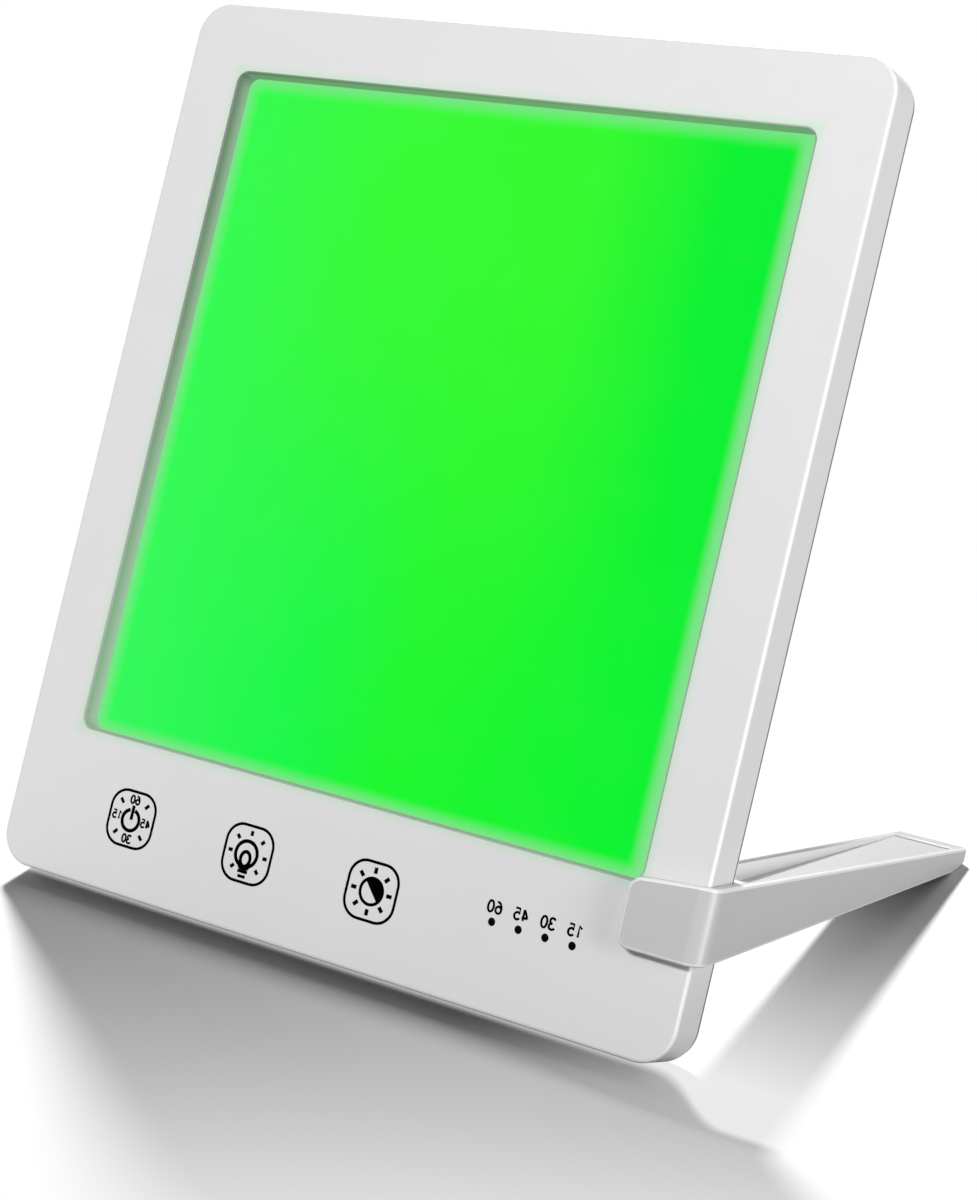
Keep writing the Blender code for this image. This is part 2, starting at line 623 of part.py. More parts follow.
def make_board():
    length = board_right() - BOARD_LEFT
    size = (length, BOARD_THICKNESS, BOARD_HIGH - BOARD_LOW)
    place = (BOARD_LEFT + length / 2, BOARD_Y + BOARD_THICKNESS / 2, BOARD_MIDDLE_Z)
    board = add_piece("main_board", slab_mesh("main_board", size, BOARD_CORNER), BOARD_GREEN, place)
    holes = pins_mesh(
        "board_holes", board_screw_places(), BOARD_SCREW_RADIUS + GAP,
        BOARD_Y - OVERRUN, BOARD_REAR_Y + OVERRUN,
    )
    combine(board, "DIFFERENCE", add_helper("board_holes", holes))

    reach = GAP + BOARD_THICKNESS + GAP + BOARD_SCREW_BITE
    profile = screw_profile(BOARD_SCREW_HEAD_RADIUS, BOARD_SCREW_HEAD_HEIGHT, BOARD_SCREW_RADIUS, reach)
    for number, (x, z) in enumerate(board_screw_places(), 1):
        seat = (x, BOARD_REAR_Y + GAP, z)
        add_turned(f"board_screw_{number}", profile, STEEL, seat, (-pi / 2, 0, 0))


def make_touch_pads():
    low = INNER_FRONT_Y + GAP
    high = BOARD_Y - GAP
    names = ("touch_pad_power", "touch_pad_colour", "touch_pad_brightness")
    for name, (x, z) in zip(names, sign_places()):
        pad = pins_mesh(name, [(0, 0)], TOUCH_PAD_RADIUS, low, high)
        add_piece(name, pad, GREY_FOAM, (x, 0, z))


def make_timer_lights():
    """Each light's lamp on the board and its lens, whose flange lies behind the bezel's wall."""
    lamp_front = BOARD_Y - GAP - TIMER_LAMP_HEIGHT
    length = lamp_front - GAP - FRONT_Y
    flange_top = length - FRONT_WALL - GAP
    flange_low = flange_top - LENS_FLANGE_THICKNESS
    profile = [
        (0, length),
        (LENS_RADIUS, length),
        (LENS_RADIUS, flange_top),
        (LENS_RADIUS + LENS_FLANGE, flange_top),
        (LENS_RADIUS + LENS_FLANGE, flange_low),
        (LENS_RADIUS, flange_low),
        (LENS_RADIUS, 0),
        (0, 0),
    ]
    size = (TIMER_LAMP_SIZE, TIMER_LAMP_HEIGHT, TIMER_LAMP_SIZE)
    for number, (x, z) in enumerate(light_places(), 1):
        add_turned(f"timer_lens_{number}", profile, SMOKED_LENS, (x, lamp_front - GAP, z), (pi / 2, 0, 0))
        lamp = slab_mesh(f"timer_lamp_{number}", size)
        add_piece(f"timer_lamp_{number}", lamp, LAMP_WHITE, (x, lamp_front + TIMER_LAMP_HEIGHT / 2, z))


def make_board_parts():
    """Chips, coil and capacitors on the back of the main board."""
    seat = BOARD_REAR_Y + GAP
    chips = (
        ("driver_chip", DRIVER_CHIP_SIZE, DRIVER_CHIP_SHARE),
        ("touch_chip", TOUCH_CHIP_SIZE, TOUCH_CHIP_SHARE),
    )
    for name, side, share in chips:
        mesh = slab_mesh(name, (side, CHIP_HEIGHT, side))
        add_piece(name, mesh, BLACK_EPOXY, (board_x(share), seat + CHIP_HEIGHT / 2, BOARD_MIDDLE_Z))
    coil = pins_mesh("boost_inductor", [(0, 0)], INDUCTOR_RADIUS, seat, seat + INDUCTOR_HEIGHT)
    add_piece("boost_inductor", coil, FERRITE, (board_x(INDUCTOR_SHARE), 0, BOARD_MIDDLE_Z))
    for number, share in enumerate(CAPACITOR_SHARES, 1):
        name = f"filter_capacitor_{number}"
        can = pins_mesh(name, [(0, 0)], CAPACITOR_RADIUS, seat, seat + CAPACITOR_HEIGHT)
        add_piece(name, can, ALUMINIUM, (board_x(share), 0, BOARD_MIDDLE_Z))


def make_power_socket():
    """A small oval socket at the board's left end, with a tongue in its mouth."""
    middle_y = socket_middle_y()
    mouth_x = -PANEL_WIDTH / 2 + SOCKET_SET
    outer = rounded_outline(SOCKET_HEIGHT, SOCKET_WIDTH, SOCKET_HEIGHT / 2 - MERGE)
    shell = outline_mesh("power_socket", outer, SOCKET_LENGTH, SIDE_PLANE)
    place = (mouth_x + SOCKET_LENGTH / 2, middle_y, BOARD_MIDDLE_Z)
    socket = add_piece("power_socket", shell, STEEL, place)

    inner_height = SOCKET_HEIGHT - 2 * SOCKET_WALL
    inner = rounded_outline(inner_height, SOCKET_WIDTH - 2 * SOCKET_WALL, inner_height / 2 - MERGE)
    depth = SOCKET_LENGTH - SOCKET_BACK
    cavity = outline_mesh("socket_cavity", inner, depth + OVERRUN, SIDE_PLANE)
    cavity_place = (mouth_x + (depth - OVERRUN) / 2, middle_y, BOARD_MIDDLE_Z)
    combine(socket, "DIFFERENCE", add_helper("socket_cavity", cavity, cavity_place))
    tongue = (depth + SINK - TONGUE_SET, TONGUE_THICKNESS, TONGUE_WIDTH)
    tongue_centre = (mouth_x + TONGUE_SET + tongue[0] / 2, middle_y, BOARD_MIDDLE_Z)
    tongue_mesh = boxes_mesh("socket_tongue", [(tongue_centre, tongue)])
    combine(socket, "UNION", add_helper("socket_tongue", tongue_mesh))


def add_lead(name, start, start_way, end, end_way):
    """A lead whose centre line leaves one way and arrives along another, on a cubic curve."""
    start = Vector(start)
    end = Vector(end)
    reach = (end - start).length * LEAD_REACH_SHARE
    first = start + Vector(start_way) * reach
    last = end - Vector(end_way) * reach
    curve = bpy.data.curves.new(name, "CURVE")
    curve.dimensions = "3D"
    curve.bevel_depth = LEAD_RADIUS
    curve.bevel_resolution = 2
    curve.use_fill_caps = True
    spline = curve.splines.new("POLY")
    spline.points.add(LEAD_STEPS)
    for step, point in enumerate(spline.points):
        t = step / LEAD_STEPS
        s = 1 - t
        place = s**3 * start + 3 * s * s * t * first + 3 * s * t * t * last + t**3 * end
        point.co = (*place, 1)
    add_piece(name, curve, LEAD_BLACK)


def make_leads():
    """The plug of each light strip on the board, and its lead up to the strip's lower end."""
    plug_y = BOARD_REAR_Y + GAP + PLUG_HEIGHT / 2
    strip_low = WINDOW_Z - STACK_HEIGHT / 2 - GAP
    side_plug = (PLUG_WIDTH, PLUG_HEIGHT, PLUG_LENGTH)
    left = (-STRIP_X, plug_y, BOARD_HIGH - PLUG_WIDTH)
    add_piece("strip_plug_left", slab_mesh("strip_plug_left", (PLUG_LENGTH, PLUG_HEIGHT, PLUG_WIDTH)), PLUG_CREAM, left)
    left_top = (left[0], plug_y, left[2] + PLUG_WIDTH / 2 + GAP)
    add_lead("strip_lead_left", left_top, (0, 0, 1), (-STRIP_X, STRIP_MIDDLE_Y, strip_low), (0, 0, 1))
    right = (board_right() - PLUG_WIDTH / 2 - BOARD_CORNER, plug_y, BOARD_MIDDLE_Z - PLUG_LENGTH / 2)
    add_piece("strip_plug_right", slab_mesh("strip_plug_right", side_plug), PLUG_CREAM, right)
    right_end = (right[0] + PLUG_WIDTH / 2 + GAP, plug_y, right[2])
    add_lead("strip_lead_right", right_end, (1, 0, 0), (STRIP_X, STRIP_MIDDLE_Y, strip_low), (0, 0, 1))


def rest_drop():
    """How far the cover's round bottom edge lies above the panel frame's origin when it leans."""
    turns = [step * pi / 2 / EDGE_STEPS for step in range(EDGE_STEPS + 1)]
    lowest = min(-sin(LEAN) * sin(turn) - cos(LEAN) * cos(turn) for turn in turns)
    return cos(LEAN) * (REAR_INSET + REAR_ROUND) + sin(LEAN) * REAR_ROUND + REAR_ROUND * lowest


def floor_z(y):
    """The floor's height in the panel's frame, where the leg's foot lies."""
    return (sin(LEAN) * y + rest_drop()) / cos(LEAN)


def leg_line(front_z, tip_z):
    """The height along a straight edge of the stand, from the clip's front to the leg's tip."""
    return lambda y: front_z + (tip_z - front_z) * (y - STAND_FRONT_Y) / (LEG_REACH - STAND_FRONT_Y)


def leg_top():
    return leg_line(CLIP_RISE + CLIP_HEIGHT, floor_z(LEG_REACH) + LEG_TIP_HEIGHT)


def leg_inner_x(y):
    """The leg's inner side, which spreads from its root to its tip."""
    share = (y - CLIP_BACK_Y) / (LEG_REACH - CLIP_BACK_Y)
    return STAND_OUTER_X - LEG_ROOT_WIDTH - (LEG_TIP_WIDTH - LEG_ROOT_WIDTH) * share


def stand_plan():
    """The stand seen along the panel's height: tab, bend, side wall, leg and the panel's slot."""
    outer = STAND_OUTER_X
    slot_x = PANEL_WIDTH / 2 + GAP
    tip = LEG_TIP_CORNER
    points = [(CLIP_INNER_X, STAND_FRONT_Y)]
    points += arc((outer - CLIP_BEND, STAND_FRONT_Y + CLIP_BEND), CLIP_BEND, -pi / 2, 0, BEND_STEPS)
    points += arc((outer - tip, LEG_REACH - tip), tip, 0, pi / 2, EDGE_STEPS + 1)
    inner_tip = leg_inner_x(LEG_REACH)
    points += arc((inner_tip + tip, LEG_REACH - tip), tip, pi / 2, pi, EDGE_STEPS + 1)
    points += [(leg_inner_x(CLIP_BACK_Y), CLIP_BACK_Y), (CLIP_INNER_X, CLIP_BACK_Y)]
    return points + [(CLIP_INNER_X, GAP), (slot_x, GAP), (slot_x, FRONT_Y - GAP), (CLIP_INNER_X, FRONT_Y - GAP)]


def stand_side():
    """The stand seen from its side: a long taper that ends on a flat foot."""
    foot_y = LEG_REACH - FOOT_LENGTH * cos(LEAN)
    return [
        (STAND_FRONT_Y, CLIP_RISE),
        (foot_y, floor_z(foot_y)),
        (LEG_REACH, floor_z(LEG_REACH)),
        (LEG_REACH, leg_top()(LEG_REACH)),
        (STAND_FRONT_Y, leg_top()(STAND_FRONT_Y)),
    ]


def wedge_mesh(name, sides, faces):
    """A solid between two stations along Y, each with its own left and right x and low and high z."""
    bm = bmesh.new()
    corners = [
        [bm.verts.new((x, y, z)) for x, z in ((left, low), (right, low), (right, high), (left, high))]
        for y, (left, right), (low, high) in zip(sides, *faces)
    ]
    bm.faces.new(corners[0])
    bm.faces.new(corners[1])
    for turn in range(4):
        following = (turn + 1) % 4
        bm.faces.new((corners[0][turn], corners[0][following], corners[1][following], corners[1][turn]))
    return mesh_from(bm, name)


def recess_depth(y):
    """The depth of the leg's top recess, which runs out towards the tip."""
    end = LEG_REACH - RECESS_END_RIM
    share = (y - CLIP_BACK_Y) / (end - CLIP_BACK_Y)
    return RECESS_ROOT_DEPTH + (RECESS_TIP_DEPTH - RECESS_ROOT_DEPTH) * share


def recess_sides(y):
    return leg_inner_x(y) + RECESS_RIM, STAND_OUTER_X - RECESS_RIM


def make_stand():
    plan = outline_mesh("stand_plan", stand_plan(), PANEL_HEIGHT, PLAN_PLANE)
    body = add_helper("stand_plan", plan)
    side = outline_mesh("stand_side", stand_side(), PANEL_WIDTH, SIDE_PLANE)
    combine(body, "INTERSECT", add_helper("stand_side", side, (STAND_OUTER_X, 0, 0)))
    bpy.context.view_layer.update()
    shape = bpy.data.meshes.new_from_object(body.evaluated_get(bpy.context.evaluated_depsgraph_get()))
    shape.name = "stand_bracket"
    bpy.data.objects.remove(body)

    bm = bmesh.new()
    bm.from_mesh(shape)
    bmesh.ops.remove_doubles(bm, verts=bm.verts, dist=MERGE)
    tab_ends = [
        e for e in bm.edges
        if all(abs(v.co.x - CLIP_INNER_X) < MERGE and v.co.y < FRONT_Y for v in e.verts)
        and abs(e.verts[0].co.y - e.verts[1].co.y) > CLIP_FRONT_WALL / 2
    ]
    round_edges(bm, tab_ends, TAB_CORNER, CORNER_STEPS)
    grip = Vector((PANEL_WIDTH / 2, FRONT_Y / 2, CLIP_RISE + CLIP_HEIGHT / 2))
    bmesh.ops.translate(bm, vec=-grip, verts=bm.verts)
    bm.to_mesh(shape)
    bm.free()
    stand = add_piece("stand_bracket", smooth(shape), WHITE_PLASTIC, grip)

    rounding = stand.modifiers.new("rounded edges", "BEVEL")
    rounding.width = STAND_ROUND
    rounding.segments = EDGE_STEPS
    rounding.limit_method = "ANGLE"
    rounding.angle_limit = radians(35)

    top = leg_top()
    end = LEG_REACH - RECESS_END_RIM
    stations = (CLIP_BACK_Y, end)
    heights = [(top(y) - recess_depth(y), top(y) + OVERRUN) for y in stations]
    recess = wedge_mesh("leg_recess", stations, ([recess_sides(y) for y in stations], heights))
    combine(stand, "DIFFERENCE", add_helper("leg_recess", recess))

    hollow_end = LEG_REACH - HOLLOW_END
    pitch = (hollow_end - CLIP_BACK_Y + HOLLOW_RIB) / HOLLOW_COUNT
    for number in range(HOLLOW_COUNT):
        near = CLIP_BACK_Y + pitch * number
        stations = (near, near + pitch - HOLLOW_RIB)
        ceilings = [top(y) - recess_depth(y) - HOLLOW_WALL for y in stations]
        heights = [(CLIP_RISE - OVERRUN, ceiling) for ceiling in ceilings]
        name = f"leg_hollow_{number + 1}"
        hollow = wedge_mesh(name, stations, ([recess_sides(y) for y in stations], heights))
        combine(stand, "DIFFERENCE", add_helper(name, hollow))
    return stand


def set_on_floor(pieces):
    """Moves the panel's frame so that the lamp stands on the floor with its middle over the origin."""
    bpy.context.view_layer.update()
    graph = bpy.context.evaluated_depsgraph_get()
    points = []
    for piece in pieces:
        shown = piece.evaluated_get(graph)
        mesh = shown.to_mesh()
        points += [shown.matrix_world @ vertex.co for vertex in mesh.vertices]
        shown.to_mesh_clear()
    lows = [min(point[axis] for point in points) for axis in range(3)]
    highs = [max(point[axis] for point in points) for axis in range(3)]
    middle = [(low + high) / 2 for low, high in zip(lows, highs)]
    panel_frame.location = (-middle[0], -middle[1], -rest_drop())


clear_scene()
parts = new_collection("light_therapy_lamp")
cutters = new_collection("cutters")
cutters.hide_render = True
panel_frame = bpy.data.objects.new("panel_frame", None)
panel_frame.rotation_euler.x = -LEAN
parts.objects.link(panel_frame)

front_bezel = make_front_bezel()
make_rear_cover()
make_cover_screws()
make_stack()
make_light_strips()
make_board()
make_touch_pads()
make_timer_lights()
make_board_parts()
make_power_socket()
make_leads()
stand_bracket = make_stand()
set_on_floor([front_bezel, bpy.data.objects["rear_cover"], stand_bracket])
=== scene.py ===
"""Studio scene of a tablet light therapy lamp on a clip-on stand.

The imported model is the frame. The case, the stand, the signs, the lenses, the screws and the inlet are
made here at finer detail, in the panel's own frame: X across the panel, Y from its front to its back,
with the back at zero, and Z up it. Lengths are in metres."""

import json
from math import atan2, cos, pi, radians, sin

import bmesh
import bpy
from mathutils import Matrix, Vector


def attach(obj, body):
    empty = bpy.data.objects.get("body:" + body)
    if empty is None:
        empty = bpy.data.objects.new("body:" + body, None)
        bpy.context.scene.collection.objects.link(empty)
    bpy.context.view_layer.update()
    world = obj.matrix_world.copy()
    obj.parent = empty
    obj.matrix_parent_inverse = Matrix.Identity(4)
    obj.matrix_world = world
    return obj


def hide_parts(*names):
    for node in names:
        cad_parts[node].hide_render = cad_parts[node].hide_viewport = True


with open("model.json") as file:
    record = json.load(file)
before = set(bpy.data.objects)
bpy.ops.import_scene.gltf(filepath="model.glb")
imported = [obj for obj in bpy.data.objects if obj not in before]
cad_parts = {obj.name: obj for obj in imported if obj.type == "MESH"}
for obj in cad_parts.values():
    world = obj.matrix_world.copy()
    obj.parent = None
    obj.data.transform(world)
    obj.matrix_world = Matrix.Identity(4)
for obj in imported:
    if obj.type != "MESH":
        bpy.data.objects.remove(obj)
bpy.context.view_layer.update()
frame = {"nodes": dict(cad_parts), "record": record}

# The panel
PANEL_WIDTH = 0.196
PANEL_HEIGHT = 0.230
PANEL_THICKNESS = 0.014
PANEL_CORNER = 0.009
FRONT_ROUND = 0.0009
FRONT_Y = -PANEL_THICKNESS
GAP = 0.0003
BEZEL_WALL = 0.002
BEZEL_REAR_Y = -0.0023
BEZEL_REAR_ROUND = 0.0002
WINDOW_WIDTH = 0.1626
WINDOW_HEIGHT = 0.1732
WINDOW_LOW = 0.0388
WINDOW_MIDDLE = WINDOW_LOW + WINDOW_HEIGHT / 2
WINDOW_CORNER = 0.003
WINDOW_ROUND = 0.0005
COLLAR_WALL = 0.0018
COLLAR_REAR_Y = -0.0088

# The rear cover and what holds it
COVER_WALL = 0.002
COVER_INSET = 0.0003
COVER_ROUND = 0.0012
LIP_INSET = 0.0023
LIP_WALL = 0.0014
LIP_Y = -0.004
SCREW_ACROSS = 0.091
SCREW_LOW = 0.007
SCREW_UP = 0.216
SCREW_HEAD = 0.0025
SCREW_HEAD_HEIGHT = 0.0015
SCREW_SEAT_Y = -0.0019
SCREW_SHANK = 0.0012
SCREW_LENGTH = 0.007
BORE = 0.0028
BOSS = 0.0037
BOSS_Y = -0.0042
POST = 0.0031
POST_Y = -0.0045

GREEN_REACH = 0.0028

# Signs and timer lights
SIGN_XS = (-0.05931, -0.02266, 0.01399)
SIGN_Z = 0.0194
SIGN_SIDE = 0.0146
SIGN_CORNER = 0.0045
INK = 0.00004
FINE_STROKE = 0.00070
BOLD_STROKE = 0.00092
LENS_FIRST_X = 0.0471
LENS_PITCH = 0.007115
LENS_Z = 0.0207
LENS_RADIUS = 0.0009
LENS_DEPTH = 0.0024
FIGURE_HEIGHT = 0.0026
FIGURE_STROKE = 0.00056
SIGN_FIGURE_STROKE = 0.00052
FIGURE_RISE = 0.0035
FIGURES_READ_BACKWARDS = True

# The power inlet in the left-hand wall
INLET_X = -0.0976
INLET_Y = -0.00515
INLET_Z = 0.02305
INLET_WIDTH = 0.0089
INLET_HEIGHT = 0.0033
INLET_LENGTH = 0.0074
INLET_WALL = 0.0003
TONGUE = (0.0058, 0.0007, 0.0067)

# The stand
STAND_OUTER_X = 0.1013
STAND_FRONT_Y = -0.0173
CLIP_INNER_X = 0.080
CLIP_BACK_Y = 0.0031
CLIP_RISE = 0.0237
CLIP_HEIGHT = 0.0179
CLIP_BEND = 0.0048
TAB_CORNER = 0.003
TAB_DROP = 0.0017
LEG_REACH = 0.1485
LEG_ROOT_WIDTH = 0.0158
LEG_TIP_WIDTH = 0.0208
LEG_TIP_HEIGHT = 0.0044
LEG_TIP_CORNER = 0.0012
FOOT_LENGTH = 0.009
STAND_ROUND = 0.0008
RIM_ROUND = 0.0005
RECESS_RIM = 0.002
RECESS_END = 0.140
RECESS_ROOT_DEPTH = 0.0055
RECESS_TIP_DEPTH = 0.0006
HOLLOW_WALL = 0.0022
HOLLOW_RIB = 0.0016
HOLLOW_END = 0.1265
HOLLOW_COUNT = 4

# Facets
CORNER_STEPS = 16
ROUND_STEPS = 5
TURN_STEPS = 40
SUPPORT = 0.00005
MERGE = 0.000004

# The floor
FLOOR_DROP = -0.0001
FOOT_Y = -0.076
ROOM_LIGHT = 0.08

# The panel's frame in the room, from the mount on its back
BACK = frame["record"]["mounts"][1]
LEAN = atan2(-BACK["axis"][2], BACK["axis"][1])
UP_PANEL = Vector((0, sin(LEAN), cos(LEAN)))
PANEL = Matrix.Translation(Vector(BACK["pos_m"]) - UP_PANEL * PANEL_HEIGHT / 2) @ Matrix.Rotation(-LEAN, 4, "X")


# ---------------------------------------------------------------- node trees

class Socket:
    """A node's output. Arithmetic on it adds Math nodes to its tree."""

    def __init__(self, tree, link):
        self.tree = tree
        self.link = link

    def math(self, operation, *values):
        return self.tree.add("ShaderNodeMath", {"operation": operation}, dict(enumerate(values)))

    def __add__(self, other):
        return self.math("ADD", self, other)

    def __radd__(self, other):
        return self.math("ADD", other, self)

    def __sub__(self, other):
        return self.math("SUBTRACT", self, other)

    def __rsub__(self, other):
        return self.math("SUBTRACT", other, self)

    def __mul__(self, other):
        return self.math("MULTIPLY", self, other)

    def __rmul__(self, other):
        return self.math("MULTIPLY", other, self)

    def __truediv__(self, other):
        return self.math("DIVIDE", self, other)

    def __rtruediv__(self, other):
        return self.math("DIVIDE", other, self)

    def __mod__(self, other):
        return self.math("FLOORED_MODULO", self, other)

    def __floordiv__(self, other):
        return self.math("FLOOR", self / other)

    def __abs__(self):
        return self.math("ABSOLUTE", self)

    def __gt__(self, other):
        return self.math("GREATER_THAN", self, other)

    def __lt__(self, other):
        return self.math("LESS_THAN", self, other)

    def cosine(self):
        return self.math("COSINE", self)

    def sine(self):
        return self.math("SINE", self)

    def sign(self):
        return self.math("SIGN", self)

    def to_power(self, exponent):
        return self.math("POWER", self, exponent)

    def least(self, other):
        return self.math("MINIMUM", self, other)

    def most(self, other):
        return self.math("MAXIMUM", self, other)

    def fade(self, low, high):
        """Zero below low, one above high and a smooth rise between."""
        return self.tree.add(
            "ShaderNodeMapRange", {"interpolation_type": "SMOOTHSTEP"},
            {"Value": self, "From Min": low, "From Max": high},
        )

    def other(self, name):
        """Another output of the same node."""
        return Socket(self.tree, self.link.node.outputs[name])


class Tree:
    """A shader tree or a geometry tree, to which one method adds nodes."""

    def __init__(self, nodes):
        self.nodes = nodes

    def add(self, kind, settings=None, inputs=None, output=0):
        """Adds a node, makes its settings, then gives its sockets their values or links."""
        node = self.nodes.nodes.new(kind)
        for name, value in (settings or {}).items():
            if name == "stops":
                self.set_stops(node.color_ramp, value)
            elif name == "choices":
                while len(node.index_switch_items) < value:
                    node.index_switch_items.new()
            else:
                setattr(node, name, value)
        for key, value in (inputs or {}).items():
            if isinstance(value, Socket):
                self.nodes.links.new(value.link, node.inputs[key])
            else:
                node.inputs[key].default_value = value
        return Socket(self, node.outputs[output]) if len(node.outputs) else node

    def set_stops(self, ramp, stops):
        while len(ramp.elements) < len(stops):
            ramp.elements.new(1.0)
        for element, (place, colour) in zip(ramp.elements, stops):
            element.position = place
            element.color = colour

    def mix(self, share, first, second):
        """A colour between two, by share."""
        settings = {"data_type": "RGBA", "clamp_factor": True}
        return self.add("ShaderNodeMix", settings, {0: share, 6: first, 7: second}, output=2)

    def noise(self, where, scale, detail=2.0, roughness=0.5):
        return self.add(
            "ShaderNodeTexNoise", {}, {"Vector": where, "Scale": scale, "Detail": detail, "Roughness": roughness}
        )


def new_shader(name):
    """A material's emptied tree, with its object coordinates."""
    material = bpy.data.materials.new(name)
    material.use_nodes = True
    material.node_tree.nodes.clear()
    tree = Tree(material.node_tree)
    where = tree.add("ShaderNodeTexCoord", output="Object")
    return material, tree, where


def set_surface(tree, shader):
    tree.add("ShaderNodeOutputMaterial", {}, {"Surface": shader})


def on_panel(tree, where):
    """Object coordinates turned to the panel's own axes."""
    inverse = PANEL.inverted()
    turned = tree.add(
        "ShaderNodeMapping", {"vector_type": "POINT"},
        {"Vector": where, "Location": inverse.translation, "Rotation": inverse.to_euler()},
    )
    return turned, tree.add("ShaderNodeSeparateXYZ", {}, {"Vector": turned})


def painted_window_glow(tree, where, tone):
    """Painted glow: the case's colour is painted greener along the window's opening."""
    place = on_panel(tree, where)[1]
    beside = abs(place.other("X")) - WINDOW_WIDTH / 2
    above = abs(place.other("Z") - WINDOW_MIDDLE) - WINDOW_HEIGHT / 2
    glow = 1 - beside.most(above).fade(0.0, GREEN_REACH)
    return tree.mix(glow * 0.6, tone, (0.50, 0.84, 0.56, 1.0))


def painted_far_rim_shade(tree, where, tone):
    """Painted shade: the stand's colour is painted darker grey along the rim on the leg's inner side."""
    place = on_panel(tree, where)[1]
    x, y, z = (place.other(axis) for axis in "XYZ")
    near = 1 - (x - leg_inner_x(y)).fade(0.0022, 0.0032)
    high = 1 - (leg_top(y) - z).fade(0.0001, 0.0005)
    along = y.fade(0.004, 0.012) * (1 - y.fade(0.07, 0.13))
    return tree.mix(near * high * along, tone, (0.22, 0.22, 0.22, 1.0))


def plastic(
    name, colour, roughness, grain=2600.0, depth=0.000012, blotch=0.03, sheen_of=0.5, painted_light=None,
):
    """Moulded or sintered stuff: a fine grain, faint clouds of colour, an uneven gloss and perhaps painted light or
    shade in its colour.
    """
    material, tree, where = new_shader(name)
    clouds = tree.noise(where, 38.0, 3.0)
    specks = tree.noise(where, grain, 2.0, 0.6)
    darker = (*(channel * (1 - blotch) for channel in colour), 1.0)
    lighter = (*(min(1.0, channel * (1 + blotch)) for channel in colour), 1.0)
    tone = tree.mix(clouds * 0.75 + specks * 0.25, darker, lighter)
    # A given function paints light or shade into the colour.
    if painted_light:
        tone = painted_light(tree, where, tone)
    gloss = roughness + (tree.noise(where, 210.0, 3.0) - 0.5) * 0.12 + (specks - 0.5) * 0.06
    bump = tree.add("ShaderNodeBump", {}, {"Strength": 0.55, "Distance": depth, "Height": specks})
    shader = tree.add(
        "ShaderNodeBsdfPrincipled", {},
        {
            "Base Color": tone, "Roughness": gloss, "Normal": bump, "Specular IOR Level": sheen_of,
        },
    )
    set_surface(tree, shader)
    return material


def brushed(name, colour, roughness, axis_scale):
    """Metal with fine lines drawn along one axis."""
    material, tree, where = new_shader(name)
    stretched = tree.add("ShaderNodeMapping", {}, {"Vector": where, "Scale": axis_scale})
    lines = tree.noise(stretched, 1.0, 4.0, 0.6)
    clouds = tree.noise(where, 120.0, 2.0)
    tone = tree.mix(lines, (*(channel * 0.86 for channel in colour), 1.0), (*colour, 1.0))
    gloss = roughness + (lines - 0.5) * 0.18 + (clouds - 0.5) * 0.08
    bump = tree.add("ShaderNodeBump", {}, {"Strength": 0.4, "Distance": 0.000006, "Height": lines})
    set_surface(tree, tree.add(
        "ShaderNodeBsdfPrincipled", {},
        {"Base Color": tone, "Roughness": gloss, "Metallic": 1.0, "Normal": bump},
    ))
    return material


def recess_shade_plastic(name):
    """The window's side walls: white plastic with the recess's shade painted into its colour, darkest at the front
    edge, top and left.
    """
    material, tree, where = new_shader(name)
    place = on_panel(tree, where)[1]
    down = place.other("Y").fade(FRONT_Y, COLLAR_REAR_Y)
    specks = tree.noise(where, 2600.0)
    across = place.other("X") / WINDOW_WIDTH + 0.5
    below = 0.5 - (place.other("Z") - WINDOW_MIDDLE) / WINDOW_HEIGHT
    open_side = across.most(below).fade(0.1, 1.0)
    edge = tree.mix(open_side, (0.22, 0.20, 0.22, 1.0), (0.40, 0.40, 0.40, 1.0))
    deep = tree.mix(open_side, (0.44, 0.40, 0.44, 1.0), (0.56, 0.50, 0.56, 1.0))
    tone = tree.mix(down + (specks - 0.5) * 0.05, edge, deep)
    overhead = (place.other("Z") - WINDOW_MIDDLE) > WINDOW_HEIGHT / 2 - 0.0004
    # The top wall is painted pinker, so the window's green light on it shows grey, and darker towards the front as
    # painted shade.
    top_wall = tree.mix(across, (0.62, 0.42, 0.60, 1.0), (0.80, 0.58, 0.78, 1.0))
    top_edge = tree.mix(across, (0.28, 0.31, 0.28, 1.0), (0.60, 0.62, 0.60, 1.0))
    top_wall = tree.mix(down.fade(0.04, 0.18), top_edge, top_wall)
    tone = tree.mix(overhead * 0.95, tone, top_wall)
    bump = tree.add("ShaderNodeBump", {}, {"Strength": 0.5, "Distance": 0.000012, "Height": specks})
    set_surface(tree, tree.add(
        "ShaderNodeBsdfPrincipled", {}, {"Base Color": tone, "Roughness": 0.5 + (specks - 0.5) * 0.1, "Normal": bump}
    ))
    return material


